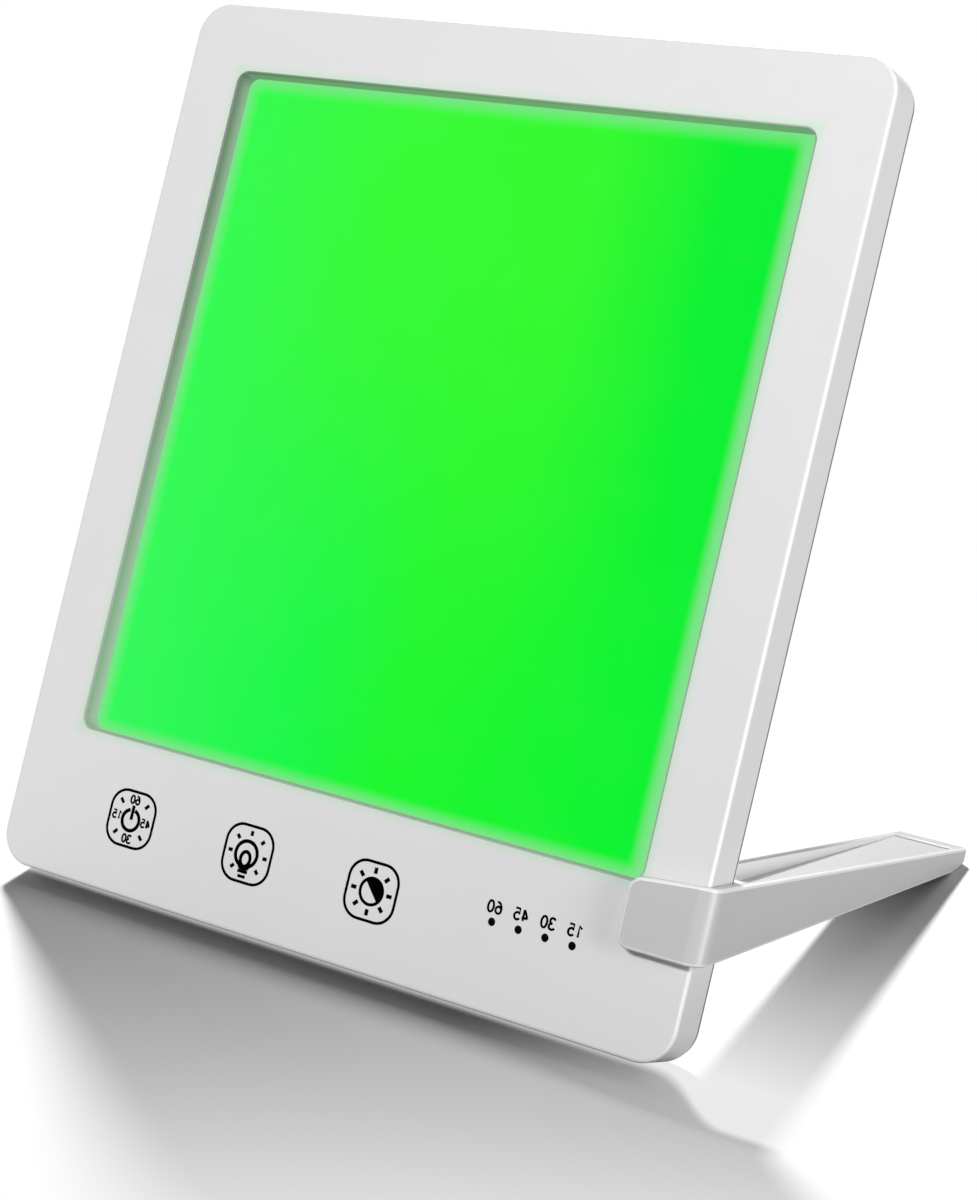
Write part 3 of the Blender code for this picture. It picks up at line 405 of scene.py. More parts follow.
def lit_green(name):
    """The opal sheet lit green: bluer to the left, deeper to the right and paler along its borders."""
    material, tree, where = new_shader(name)
    place = on_panel(tree, where)[1]
    x = place.other("X")
    z = place.other("Z") - WINDOW_MIDDLE
    wander = tree.noise(where, 14.0, 2.0) - 0.5
    across = x / WINDOW_WIDTH + 0.5 + wander * 0.05
    low_green = tree.add("ShaderNodeValToRGB", {"stops": [
        (0.0, (0.036, 0.92, 0.110, 1.0)),
        (0.34, (0.010, 0.91, 0.068, 1.0)),
        (0.54, (0.012, 0.91, 0.027, 1.0)),
        (1.0, (0.002, 0.87, 0.031, 1.0)),
    ]}, {"Fac": across})
    top_green = tree.add("ShaderNodeValToRGB", {"stops": [
        (0.0, (0.034, 0.94, 0.080, 1.0)),
        (0.32, (0.038, 0.94, 0.034, 1.0)),
        (0.66, (0.034, 0.93, 0.027, 1.0)),
        (0.88, (0.001, 0.86, 0.031, 1.0)),
    ]}, {"Fac": across})
    green = tree.mix((z / WINDOW_HEIGHT + 0.5 + wander * 0.1).fade(0.0, 0.9), low_green, top_green)
    left = (WINDOW_WIDTH / 2 + x).fade(-0.001, 0.0046)
    right = (WINDOW_WIDTH / 2 - x).fade(0.0030, 0.0072)
    top = (WINDOW_HEIGHT / 2 - z).fade(-0.001, 0.0046)
    low = (WINDOW_HEIGHT / 2 + z).fade(-0.001, 0.0040)
    cloud = (tree.noise(where, 60.0, 2.0) - 0.5) * 0.08
    glow = tree.mix((1 - left * right * top * low) * 0.95 + cloud, green, (0.22, 0.75, 0.27, 1.0))
    grain = tree.noise(where, 1800.0)
    bump = tree.add("ShaderNodeBump", {}, {"Strength": 0.3, "Distance": 0.00001, "Height": grain})
    set_surface(tree, tree.add(
        "ShaderNodeBsdfPrincipled", {},
        {
            "Base Color": (0.001, 0.02, 0.001, 1.0), "Roughness": 0.6 + (grain - 0.5) * 0.1, "Normal": bump,
            "Specular IOR Level": 0.02, "Emission Color": glow, "Emission Strength": 1.0,
        },
    ))
    return material


def clear_sheet(name):
    """Clear acrylic with a faint pattern of light-scattering dots."""
    material, tree, where = new_shader(name)
    turned = on_panel(tree, where)[0]
    dots = tree.add("ShaderNodeTexVoronoi", {}, {"Vector": turned, "Scale": 700.0, "Randomness": 0.0})
    spot = 1 - dots.fade(0.18, 0.26)
    gloss = 0.06 + spot * 0.4
    clear = tree.add("ShaderNodeBsdfPrincipled", {}, {
        "Base Color": (0.93, 0.97, 0.95, 1.0), "Roughness": gloss, "Transmission Weight": 0.9, "IOR": 1.49,
    })
    chalk = tree.add("ShaderNodeBsdfPrincipled", {}, {"Base Color": (0.88, 0.9, 0.89, 1.0), "Roughness": 0.7})
    set_surface(tree, tree.add("ShaderNodeMixShader", {}, {0: spot * 0.6, 1: clear, 2: chalk}))
    return material


def board_mask(name):
    """Green solder mask over copper tracks, with tinned pads."""
    material, tree, where = new_shader(name)
    place, parts = on_panel(tree, where)
    cells = tree.add("ShaderNodeTexBrick", {}, {
        "Vector": tree.add("ShaderNodeCombineXYZ", {}, {"X": parts.other("X"), "Y": parts.other("Z")}),
        "Scale": 260.0, "Mortar Size": 0.09, "Color1": (0, 0, 0, 1), "Color2": (0, 0, 0, 1), "Mortar": (1, 1, 1, 1),
    }, output="Fac")
    pads = tree.add("ShaderNodeTexVoronoi", {}, {"Vector": place, "Scale": 300.0, "Randomness": 0.8})
    pad = (0.16 - pads) > 0
    green = tree.mix(cells, (0.012, 0.13, 0.05, 1.0), (0.03, 0.24, 0.10, 1.0))
    tone = tree.mix(pad, green, (0.72, 0.70, 0.64, 1.0))
    bump = tree.add("ShaderNodeBump", {}, {"Strength": 0.5, "Distance": 0.00003, "Height": cells + pad})
    set_surface(tree, tree.add("ShaderNodeBsdfPrincipled", {}, {
        "Base Color": tone, "Roughness": 0.42 - pad * 0.12, "Metallic": pad * 0.9, "Normal": bump,
    }))
    return material


# ---------------------------------------------------------------- finishes

# The case white carries a painted green glow along the window's opening.
CASE_WHITE = plastic("case_white", (0.80, 0.80, 0.80), 0.42, sheen_of=0.33, painted_light=painted_window_glow)
# Painted highlight: the rounded front edges are painted lighter than the case.
EDGE_HIGHLIGHT = plastic("edge_highlight", (0.95, 0.95, 0.95), 0.30, blotch=0.01)
COVER_WHITE = plastic("cover_white", (0.78, 0.78, 0.78), 0.42, grain=1500.0, depth=0.00003)
# Painted shade: the cover's flange side is painted dark grey as the shade in the seam gap.
SEAM_PAINTED_SHADE = plastic("seam_painted_shade", (0.17, 0.17, 0.17), 0.6, blotch=0.15, sheen_of=0.1)
# Painted shade: the window's side walls are painted grey, as white plastic in the recess's shade.
RECESS_PAINTED_SHADE = recess_shade_plastic("recess_painted_shade")
LIT_GREEN = lit_green("lit_green")
SIGN_INK = plastic("sign_ink", (0.001, 0.001, 0.001), 0.6, blotch=0.2, sheen_of=0.0)
SMOKED = plastic("smoked_lens_gloss", (0.001, 0.001, 0.001), 0.22, blotch=0.2, sheen_of=0.02)
ZINC = brushed("zinc_steel", (0.60, 0.61, 0.63), 0.30, (900.0, 9000.0, 900.0))
SHEET_METAL = brushed("tray_aluminium", (0.66, 0.67, 0.69), 0.36, (6000.0, 600.0, 200.0))
BRASS = brushed("contact_brass", (0.80, 0.62, 0.26), 0.28, (2500.0, 2500.0, 9000.0))
TONGUE_BLACK = plastic("tongue_black", (0.02, 0.02, 0.02), 0.5, blotch=0.15)

INNER_FINISHES = {
    "clear_acrylic": clear_sheet("guide_acrylic"),
    "white_film": plastic("reflector_film", (0.92, 0.92, 0.92), 0.4, grain=900.0, blotch=0.02),
    "aluminium": SHEET_METAL,
    "strip_white": plastic("strip_mask", (0.86, 0.86, 0.82), 0.48, grain=1600.0),
    "board_green": board_mask("board_mask"),
    "black_epoxy": plastic("chip_epoxy", (0.02, 0.02, 0.021), 0.6, grain=4200.0, depth=0.00002, blotch=0.25),
    "ferrite": plastic("coil_ferrite", (0.07, 0.07, 0.075), 0.72, grain=3000.0, depth=0.00004, blotch=0.2),
    "grey_foam": plastic("pad_foam", (0.22, 0.22, 0.23), 0.95, grain=1400.0, depth=0.00012, blotch=0.25, sheen_of=0.2),
    "lamp_white": plastic("lamp_body", (0.90, 0.88, 0.78), 0.35, blotch=0.02),
    "steel": ZINC,
    "plug_cream": plastic("plug_nylon", (0.82, 0.78, 0.66), 0.5, blotch=0.04),
    "lead_black": plastic("lead_sleeve", (0.03, 0.03, 0.03), 0.6, blotch=0.2),
    "lit_diffuser": LIT_GREEN,
}


# ---------------------------------------------------------------- geometry trees

def new_tree(name, sizes, objects=()):
    """A geometry tree with named inputs for its sizes, and a dict of those inputs."""
    nodes = bpy.data.node_groups.new(name, "GeometryNodeTree")
    nodes.is_modifier = True
    nodes.interface.new_socket(name="Geometry", in_out="INPUT", socket_type="NodeSocketGeometry")
    nodes.interface.new_socket(name="Geometry", in_out="OUTPUT", socket_type="NodeSocketGeometry")
    for label, value in sizes.items():
        kind = "NodeSocketInt" if isinstance(value, int) else "NodeSocketFloat"
        nodes.interface.new_socket(name=label, in_out="INPUT", socket_type=kind).default_value = value
    for label in objects:
        nodes.interface.new_socket(name=label, in_out="INPUT", socket_type="NodeSocketObject")
    nodes.interface.new_socket(name="Finish", in_out="INPUT", socket_type="NodeSocketMaterial")
    tree = Tree(nodes)
    first = tree.add("NodeGroupInput")
    return tree, {label: first.other(label) for label in ("Geometry", "Finish", *sizes, *objects)}


def set_result(tree, shape, finish):
    """Ends a tree: instances made real, the finish set, and the result given."""
    real = tree.add("GeometryNodeRealizeInstances", {}, {"Geometry": shape})
    dressed = tree.add("GeometryNodeSetMaterial", {}, {"Geometry": real, "Material": finish})
    tree.nodes.links.new(dressed.link, tree.nodes.nodes.new("NodeGroupOutput").inputs[0])
    return tree.nodes


def grown(name, nodes, values, base=None):
    """The plain mesh that a geometry tree makes from its inputs' values."""
    holder = bpy.data.objects.new(name, base or bpy.data.meshes.new(name))
    bpy.context.scene.collection.objects.link(holder)
    modifier = holder.modifiers.new(name, "NODES")
    modifier.node_group = nodes
    for item in nodes.interface.items_tree:
        if item.in_out == "INPUT" and item.name in values:
            modifier[item.identifier] = values[item.name]
    mesh = evaluated(holder)
    bpy.data.objects.remove(holder)
    return mesh


def evaluated(thing):
    """A plain mesh of an object with its modifiers applied."""
    bpy.context.view_layer.update()
    return bpy.data.meshes.new_from_object(thing.evaluated_get(bpy.context.evaluated_depsgraph_get()))


def rings_tree(name, sizes, stations):
    """A skin over a row of round-cornered outlines, each a width, height, corner, depth and middle height.

    The skin runs on from the last outline to the first. An outline of no size closes an end."""
    tree, size = new_tree(name, {**sizes, "Corner steps": CORNER_STEPS})
    rows = stations(size)
    around = 4 * (size["Corner steps"] + 1) + 1
    grid = tree.add("GeometryNodeMeshGrid", {}, {"Vertices X": len(rows) + 1, "Vertices Y": around})
    index = tree.add("GeometryNodeInputIndex")
    row = (index + 0.5) // around
    step = index - row * around
    row = row % len(rows)
    corner = (step + 0.5) // (size["Corner steps"] + 1)
    along = (step - corner * (size["Corner steps"] + 1)) / size["Corner steps"]
    turn = (corner + along) * (pi / 2)
    middle = (corner + 0.5) * (pi / 2)

    def of_row(number):
        choice = {"data_type": "FLOAT", "choices": len(rows)}
        return tree.add("GeometryNodeIndexSwitch", choice, {0: row, **{i + 1: r[number] for i, r in enumerate(rows)}})

    width, height, radius, depth, rise = (of_row(number) for number in range(5))
    place = tree.add("ShaderNodeCombineXYZ", {}, {
        "X": middle.cosine().sign() * (width / 2 - radius) + radius * turn.cosine(),
        "Y": depth,
        "Z": middle.sine().sign() * (height / 2 - radius) + radius * turn.sine() + rise,
    })
    skin = tree.add("GeometryNodeSetPosition", {}, {"Geometry": grid, "Position": place})
    joined = tree.add("GeometryNodeMergeByDistance", {}, {"Geometry": skin, "Distance": MERGE})
    return set_result(tree, joined, size["Finish"])


def quarter(radius, steps=ROUND_STEPS):
    """(in, along) of a quarter round from the side it leaves to the face it meets."""
    turns = [step * pi / 2 / steps for step in range(steps + 1)]
    return [(radius * (1 - cos(turn)), radius * (1 - sin(turn))) for turn in turns]


def bezel_rows(size):
    """The bezel's outlines: side wall, round front edge, face, window, collar and inner wall."""
    middle = size["Height"] / 2

    def outer(inset, depth):
        return size["Width"] - 2 * inset, size["Height"] - 2 * inset, size["Corner"] - inset, depth, middle

    def window(grow, depth):
        return (
            size["Window width"] + 2 * grow, size["Window height"] + 2 * grow, size["Window corner"] + grow,
            depth, size["Window middle"],
        )

    rear = BEZEL_REAR_Y
    rows = [outer(BEZEL_WALL, rear), outer(BEZEL_REAR_ROUND, rear), outer(0.0, rear - BEZEL_REAR_ROUND)]
    rows += [outer(0.0, FRONT_Y + FRONT_ROUND + SUPPORT)]
    rows += [outer(inset, FRONT_Y + along) for inset, along in quarter(FRONT_ROUND)]
    rows += [outer(FRONT_ROUND + SUPPORT, FRONT_Y), window(WINDOW_ROUND + SUPPORT, FRONT_Y)]
    rows += [window(inset, FRONT_Y + along) for inset, along in reversed(quarter(WINDOW_ROUND, 3))]
    rows += [window(0.0, FRONT_Y + WINDOW_ROUND + SUPPORT), window(0.0, COLLAR_REAR_Y)]
    rows += [window(COLLAR_WALL, COLLAR_REAR_Y), window(COLLAR_WALL, FRONT_Y + BEZEL_WALL)]
    return rows + [outer(BEZEL_WALL, FRONT_Y + BEZEL_WALL)]


def cover_rows(size):
    """The rear cover's outlines: inner face, lip, flange, round edge and back."""
    middle = size["Height"] / 2

    def outline(inset, depth):
        return size["Width"] - 2 * inset, size["Height"] - 2 * inset, size["Corner"] - inset, depth, middle

    inner = -COVER_WALL
    rows = [(0.0, 0.0, 0.0, inner, middle), outline(LIP_INSET + LIP_WALL, inner), outline(LIP_INSET + LIP_WALL, LIP_Y)]
    rows += [outline(LIP_INSET, LIP_Y), outline(LIP_INSET, inner), outline(COVER_INSET, inner)]
    rows += [outline(COVER_INSET + inset, -along) for inset, along in quarter(COVER_ROUND)]
    return rows + [outline(COVER_INSET + COVER_ROUND + SUPPORT, 0.0), (0.0, 0.0, 0.0, 0.0, middle)]


def shell_rows(size):
    """The inlet's outlines: an oval tube, closed at its far end, with a round mouth."""
    lip = INLET_WALL / 3

    def oval(inset, depth):
        return (
            size["Width"] - 2 * inset, size["Height"] - 2 * inset, size["Width"] / 2 - inset - MERGE, depth, 0.0
        )

    depth = size["Length"] - INLET_WALL * 3
    return [
        (0.0, 0.0, 0.0, size["Length"], 0.0), oval(lip, size["Length"]), oval(0.0, size["Length"] - lip),
        oval(0.0, lip), oval(lip, 0.0), oval(INLET_WALL - lip, 0.0), oval(INLET_WALL, lip),
        oval(INLET_WALL, depth), (0.0, 0.0, 0.0, depth, 0.0),
    ]


def line_tree():
    """Ink lines: a flat strip along each curve, its width the point's radius times the stroke."""
    tree, size = new_tree("ink_lines", {"Stroke": FINE_STROKE, "Thickness": INK})
    level = tree.add("GeometryNodeSetCurveNormal", {"mode": "Z_UP"}, {"Curve": size["Geometry"]})
    nib = tree.add("GeometryNodeCurvePrimitiveQuadrilateral", {}, {"Width": size["Stroke"], "Height": size["Thickness"]})
    line = tree.add("GeometryNodeCurveToMesh", {}, {"Curve": level, "Profile Curve": nib, "Fill Caps": True})
    return set_result(tree, line, size["Finish"])


def rays_tree():
    """Short bars that point outwards round a circle, with one left out if its number is given."""
    tree, size = new_tree("sign_rays", {
        "Count": 8, "Radius": 0.005, "Length": 0.0015, "Stroke": 0.0008, "Thickness": INK,
        "First angle": 0.0, "Left out": -1,
    })
    circle = tree.add("GeometryNodeMeshCircle", {}, {"Vertices": size["Count"], "Radius": size["Radius"]})
    where = tree.add("GeometryNodeInputPosition")
    turned = tree.add("ShaderNodeVectorRotate", {"rotation_type": "Z_AXIS"}, {"Vector": where, "Angle": size["First angle"]})
    placed = tree.add("GeometryNodeSetPosition", {}, {"Geometry": circle, "Position": turned})
    bar_size = tree.add("ShaderNodeCombineXYZ", {}, {"X": size["Length"], "Y": size["Stroke"], "Z": size["Thickness"]})
    bar = tree.add("GeometryNodeMeshCube", {}, {"Size": bar_size})
    outwards = tree.add("FunctionNodeAlignRotationToVector", {"axis": "X"}, {"Vector": tree.add("GeometryNodeInputPosition")})
    kept = abs(tree.add("GeometryNodeInputIndex") - size["Left out"]) > 0.5
    bars = tree.add("GeometryNodeInstanceOnPoints", {}, {
        "Points": placed, "Selection": kept, "Instance": bar, "Rotation": outwards,
    })
    return set_result(tree, bars, size["Finish"])


def rows_tree():
    """One item set out in rows along X and Z, about the middle of the rows."""
    tree, size = new_tree(
        "set_out_rows", {"Columns": 3, "Rows": 1, "Column pitch": 0.01, "Row pitch": 0.01}, ("Item",)
    )
    count = size["Columns"] * size["Rows"]
    points = tree.add("GeometryNodePoints", {}, {"Count": count})
    index = tree.add("GeometryNodeInputIndex")
    row = (index + 0.5) // size["Columns"]
    column = index - row * size["Columns"]
    place = tree.add("ShaderNodeCombineXYZ", {}, {
        "X": (column - (size["Columns"] - 1) / 2) * size["Column pitch"], "Y": 0.0,
        "Z": (row - (size["Rows"] - 1) / 2) * size["Row pitch"],
    })
    placed = tree.add("GeometryNodeSetPosition", {}, {"Geometry": points, "Position": place})
    item = tree.add("GeometryNodeObjectInfo", {}, {"Object": size["Item"]}, output="Geometry")
    items = tree.add("GeometryNodeInstanceOnPoints", {}, {"Points": placed, "Instance": item})
    return set_result(tree, items, size["Finish"])


# ---------------------------------------------------------------- meshes

def shaded(mesh, sharp=35):
    mesh.shade_smooth()
    mesh.set_sharp_from_angle(angle=radians(sharp))
    return mesh


def facing_out(mesh):
    """Merges a mesh's doubles and turns its faces outwards."""
    bm = bmesh.new()
    bm.from_mesh(mesh)
    bmesh.ops.remove_doubles(bm, verts=bm.verts, dist=MERGE / 4)
    bmesh.ops.dissolve_degenerate(bm, edges=bm.edges, dist=MERGE / 8)
    bmesh.ops.recalc_face_normals(bm, faces=bm.faces)
    bm.to_mesh(mesh)
    bm.free()
    return mesh


def with_finishes(mesh, *finishes):
    mesh.materials.clear()
    for finish in finishes:
        mesh.materials.append(finish)
    return mesh


def turned_mesh(name, profile, steps=TURN_STEPS):
    """A turned solid about Y, from (radius, y) points that start and end on the axis."""
    bm = bmesh.new()
    points = [bm.verts.new((radius, depth, 0)) for radius, depth in profile]
    edges = [bm.edges.new(pair) for pair in zip(points, points[1:])]
    bmesh.ops.spin(
        bm, geom=points + edges, cent=(0, 0, 0), axis=(0, 1, 0), angle=2 * pi, steps=steps, use_merge=True
    )
    bmesh.ops.remove_doubles(bm, verts=bm.verts, dist=MERGE / 4)
    bmesh.ops.dissolve_degenerate(bm, edges=bm.edges, dist=MERGE / 8)
    mesh = bpy.data.meshes.new(name)
    bmesh.ops.recalc_face_normals(bm, faces=bm.faces)
    bm.to_mesh(mesh)
    bm.free()
    return mesh


def boxes_mesh(name, boxes):
    """Boxes, each a (centre, size) pair."""
    bm = bmesh.new()
    for centre, size in boxes:
        bmesh.ops.create_cube(bm, size=1.0, matrix=Matrix.Translation(centre) @ Matrix.Diagonal((*size, 1.0)))
    mesh = bpy.data.meshes.new(name)
    bm.to_mesh(mesh)
    bm.free()
    return mesh


def pins_mesh(name, places, radius, low, high, steps=TURN_STEPS):
    """Round pins along Y at (x, z) places."""
    bm = bmesh.new()
    for x, z in places:
        shape = Matrix.Translation((x, (low + high) / 2, z)) @ Matrix.Rotation(pi / 2, 4, "X")
        bmesh.ops.create_cone(
            bm, cap_ends=True, segments=steps, radius1=radius, radius2=radius, depth=high - low, matrix=shape
        )
    mesh = bpy.data.meshes.new(name)
    bm.to_mesh(mesh)
    bm.free()
    return mesh


def joined(name, meshes):
    """One mesh from several, with each one's finishes kept."""
    bm = bmesh.new()
    finishes = []
    for mesh in meshes:
        before = len(bm.faces)
        bm.from_mesh(mesh)
        bm.faces.ensure_lookup_table()
        slots = [material for material in mesh.materials]
        for material in slots:
            if material not in finishes:
                finishes.append(material)
        for face in bm.faces[before:]:
            if slots:
                face.material_index = finishes.index(slots[min(face.material_index, len(slots) - 1)])
    whole = bpy.data.meshes.new(name)
    bm.to_mesh(whole)
    bm.free()
    return with_finishes(whole, *finishes)


def combined(mesh, steps):
    """A mesh after Boolean steps, each an operation and another mesh."""
    holder = bpy.data.objects.new("work", mesh)
    bpy.context.scene.collection.objects.link(holder)
    helpers = []
    for operation, other in steps:
        helper = bpy.data.objects.new("helper", other)
        bpy.context.scene.collection.objects.link(helper)
        helpers.append(helper)
        modifier = holder.modifiers.new(operation, "BOOLEAN")
        modifier.operation = operation
        modifier.solver = "EXACT"
        modifier.object = helper
    result = evaluated(holder)
    for thing in (holder, *helpers):
        bpy.data.objects.remove(thing)
    return result


def add_piece(name, mesh, body="panel", stands_for=(), place=PANEL):
    """A piece of the lamp: its mesh moved to its place, riding on its body."""
    mesh.name = name
    mesh.transform(place)
    piece = bpy.data.objects.new(name, mesh)
    bpy.context.scene.collection.objects.link(piece)
    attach(piece, body)
    if stands_for:
        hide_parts(*stands_for)
    return piece


ROWS = rows_tree()
LINES = line_tree()
RAYS = rays_tree()


def set_out(name, item, finish, columns, column_pitch, rows=1, row_pitch=0.0):
    """An item's mesh repeated in rows about the origin."""
    holder = bpy.data.objects.new(f"{name}_item", item)
    bpy.context.scene.collection.objects.link(holder)
    mesh = grown(name, ROWS, {
        "Columns": columns, "Rows": rows, "Column pitch": column_pitch, "Row pitch": row_pitch,
        "Item": holder, "Finish": finish,
    })
    bpy.data.objects.remove(holder)
    return mesh


def moved(mesh, x=0.0, y=0.0, z=0.0):
    mesh.transform(Matrix.Translation((x, y, z)))
    return mesh


def screw_places():
    return [(side * SCREW_ACROSS, z) for z in (SCREW_LOW, SCREW_LOW + SCREW_UP) for side in (-1, 0, 1)]


# ---------------------------------------------------------------- the case

def make_bezel():
    tree = rings_tree("bezel_rings", {
        "Width": PANEL_WIDTH, "Height": PANEL_HEIGHT, "Corner": PANEL_CORNER, "Window width": WINDOW_WIDTH,
        "Window height": WINDOW_HEIGHT, "Window corner": WINDOW_CORNER, "Window middle": WINDOW_MIDDLE,
    }, bezel_rows)
    mesh = facing_out(grown("bezel", tree, {"Finish": CASE_WHITE}))
    lens_places = [(LENS_FIRST_X + LENS_PITCH * number, LENS_Z) for number in range(4)]
    face = FRONT_Y + BEZEL_WALL
    mouth = pins_mesh("mouth", [(0, -0.0028), (0, 0.0028)], INLET_HEIGHT / 2 + GAP, -0.004, 0.004)
    mouth = joined("mouth", [mouth, boxes_mesh("slot", [((0, 0, 0), (INLET_HEIGHT + 2 * GAP, 0.008, 0.0056))])])
    mouth.transform(Matrix.Translation((-PANEL_WIDTH / 2, INLET_Y, INLET_Z)) @ Matrix.Rotation(pi / 2, 4, "Z"))
    mesh = combined(mesh, [
        ("DIFFERENCE", pins_mesh("lens_holes", lens_places, LENS_RADIUS + 0.0001, FRONT_Y - 0.001, face + 0.001, 24)),
        ("UNION", pins_mesh("posts", screw_places(), POST, face - 0.0004, POST_Y)),
        ("DIFFERENCE", pins_mesh("pilots", screw_places(), SCREW_SHANK + 0.0001, SCREW_SEAT_Y - SCREW_LENGTH, POST_Y + 0.001)),
    ])
    mesh = combined(mesh, [("DIFFERENCE", only_shell(mouth))])
    with_finishes(mesh, CASE_WHITE, EDGE_HIGHLIGHT, RECESS_PAINTED_SHADE)
    for face in mesh.polygons:
        x, y, z = face.center
        out = max(abs(x) - PANEL_WIDTH / 2, abs(z - PANEL_HEIGHT / 2) - PANEL_HEIGHT / 2) > -PANEL_CORNER / 3
        reach = WINDOW_ROUND * 0.98
        in_window = abs(x) < WINDOW_WIDTH / 2 + reach and abs(z - WINDOW_MIDDLE) < WINDOW_HEIGHT / 2 + reach
        slanted = 0.02 < abs(face.normal.y) < 0.985
        # The window's walls take the painted recess shade.
        if in_window and y < COLLAR_REAR_Y - MERGE and abs(face.normal.y) < 0.97:
            face.material_index = 2
        # The front rounding takes the painted edge highlight.
        elif slanted and y < FRONT_Y + FRONT_ROUND and out:
            face.material_index = 1
        else:
            face.material_index = 0
    return add_piece("bezel", shaded(mesh), "panel", ["front_bezel"])


def only_shell(mesh):
    """Overlapping closed shapes made one by a Boolean on themselves."""
    holder = bpy.data.objects.new("work", mesh)
    bpy.context.scene.collection.objects.link(holder)
    far = bpy.data.objects.new("far", boxes_mesh("far", [((1, 1, 1), (0.001, 0.001, 0.001))]))
    bpy.context.scene.collection.objects.link(far)
    modifier = holder.modifiers.new("one", "BOOLEAN")
    modifier.operation = "DIFFERENCE"
    modifier.solver = "EXACT"
    modifier.use_self = True
    modifier.object = far
    result = evaluated(holder)
    for thing in (holder, far):
        bpy.data.objects.remove(thing)
    return result


def make_cover():
    tree = rings_tree("cover_rings", {"Width": PANEL_WIDTH, "Height": PANEL_HEIGHT, "Corner": PANEL_CORNER}, cover_rows)
    mesh = facing_out(grown("cover", tree, {"Finish": COVER_WHITE}))
    notch = boxes_mesh("notch", [((-PANEL_WIDTH / 2, -0.005, INLET_Z), (0.014, 0.0034 + 2 * GAP, INLET_WIDTH + 2 * GAP))])
    mesh = combined(mesh, [
        ("UNION", pins_mesh("bosses", screw_places(), BOSS, BOSS_Y, -COVER_WALL + 0.0004)),
        ("DIFFERENCE", pins_mesh("bores", screw_places(), BORE, SCREW_SEAT_Y - GAP, 0.001)),
        ("DIFFERENCE", pins_mesh("holes", screw_places(), SCREW_SHANK + GAP, BOSS_Y - 0.001, SCREW_SEAT_Y)),
        ("DIFFERENCE", notch),
    ])
    with_finishes(mesh, COVER_WHITE, SEAM_PAINTED_SHADE)
    for face in mesh.polygons:
        x, y, z = face.center
        out = max(abs(x) - PANEL_WIDTH / 2, abs(z - PANEL_HEIGHT / 2) - PANEL_HEIGHT / 2) > -PANEL_CORNER / 3
        # The flange's side takes the seam's painted shade.
        face.material_index = int(out and -COVER_WALL - MERGE < y < -COVER_ROUND and abs(face.normal.y) < 0.2)
    return add_piece("back_cover", shaded(mesh), "panel", ["rear_cover"])


def make_cover_screws():
    """Six pan-head screws with a cross cut in each head."""
    head = SCREW_HEAD
    tall = SCREW_HEAD_HEIGHT
    crown = [(head * sin(turn), tall - head * 0.32 + head * 0.32 * cos(turn)) for turn in
             [step * pi / 2 / 8 for step in range(9)]]
    profile = [*crown, (head, 0.00008), (head - 0.00008, 0), (SCREW_SHANK, 0)]
    thread = SCREW_LENGTH - SCREW_SHANK
    turns = 12
    for number in range(turns):
        low = -thread * (number + 0.15) / turns
        profile += [(SCREW_SHANK, low), (SCREW_SHANK * 0.82, low - thread * 0.45 / turns)]
    profile += [(SCREW_SHANK * 0.8, -thread), (0, -SCREW_LENGTH)]
    screw = turned_mesh("cover_screw", profile, 32)
    arm = [((0, tall, 0), (0.003, 0.0016, 0.0006)), ((0, tall, 0), (0.0006, 0.0016, 0.003))]
    for cut in arm:
        screw = combined(screw, [("DIFFERENCE", boxes_mesh("cross", [cut]))])
    mesh = set_out("cover_screws", screw, ZINC, 3, SCREW_ACROSS, 2, SCREW_UP)
    moved(mesh, 0, SCREW_SEAT_Y, SCREW_LOW + SCREW_UP / 2)
    names = [f"cover_screw_{number}" for number in range(1, 7)]
    return add_piece("cover_screws", shaded(with_finishes(mesh, ZINC)), "panel", names)


def make_lenses():
    """Four smoked lenses, domed a little below the bezel's face, with flanges behind its wall."""
    dome = [(LENS_RADIUS * sin(t), 0.00016 * (1 - cos(t)) + 0.00002) for t in [step * pi / 16 for step in range(9)]]
    profile = [*dome, (LENS_RADIUS, 0.0023), (LENS_RADIUS + 0.0006, 0.0023), (LENS_RADIUS + 0.0006, 0.0029)]
    low_y = panel_box("timer_lens_1")[1].y - FRONT_Y
    profile += [(LENS_RADIUS, 0.0029), (LENS_RADIUS, low_y - 0.00005), (LENS_RADIUS - 0.00005, low_y), (0, low_y)]
    mesh = set_out("timer_lenses", turned_mesh("timer_lens", profile), SMOKED, 4, LENS_PITCH)
    moved(mesh, LENS_FIRST_X + 1.5 * LENS_PITCH, FRONT_Y, LENS_Z)
    names = [f"timer_lens_{number}" for number in range(1, 5)]
    return add_piece("timer_lenses", shaded(with_finishes(mesh, SMOKED)), "panel", names)


def panel_box(node):
    """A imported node's lowest and highest corners along the panel's own axes."""
    inverse = PANEL.inverted()
    places = [inverse @ vertex.co for vertex in frame["nodes"][node].data.vertices]
    return [Vector(pick(place[axis] for place in places) for axis in range(3)) for pick in (min, max)]


def sheet_rows(size):
    """The opal sheet's outlines: its face, its edge with both rims broken, and its back."""
    broken = 0.0002

    def outline(inset, depth):
        return size["Width"] - 2 * inset, size["Height"] - 2 * inset, size["Corner"] - inset, depth, 0.0

    thick = size["Thickness"]
    return [
        (0.0, 0.0, 0.0, 0.0, 0.0), outline(broken, 0.0), outline(0.0, broken),
        outline(0.0, thick - broken), outline(broken, thick), (0.0, 0.0, 0.0, thick, 0.0),
    ]


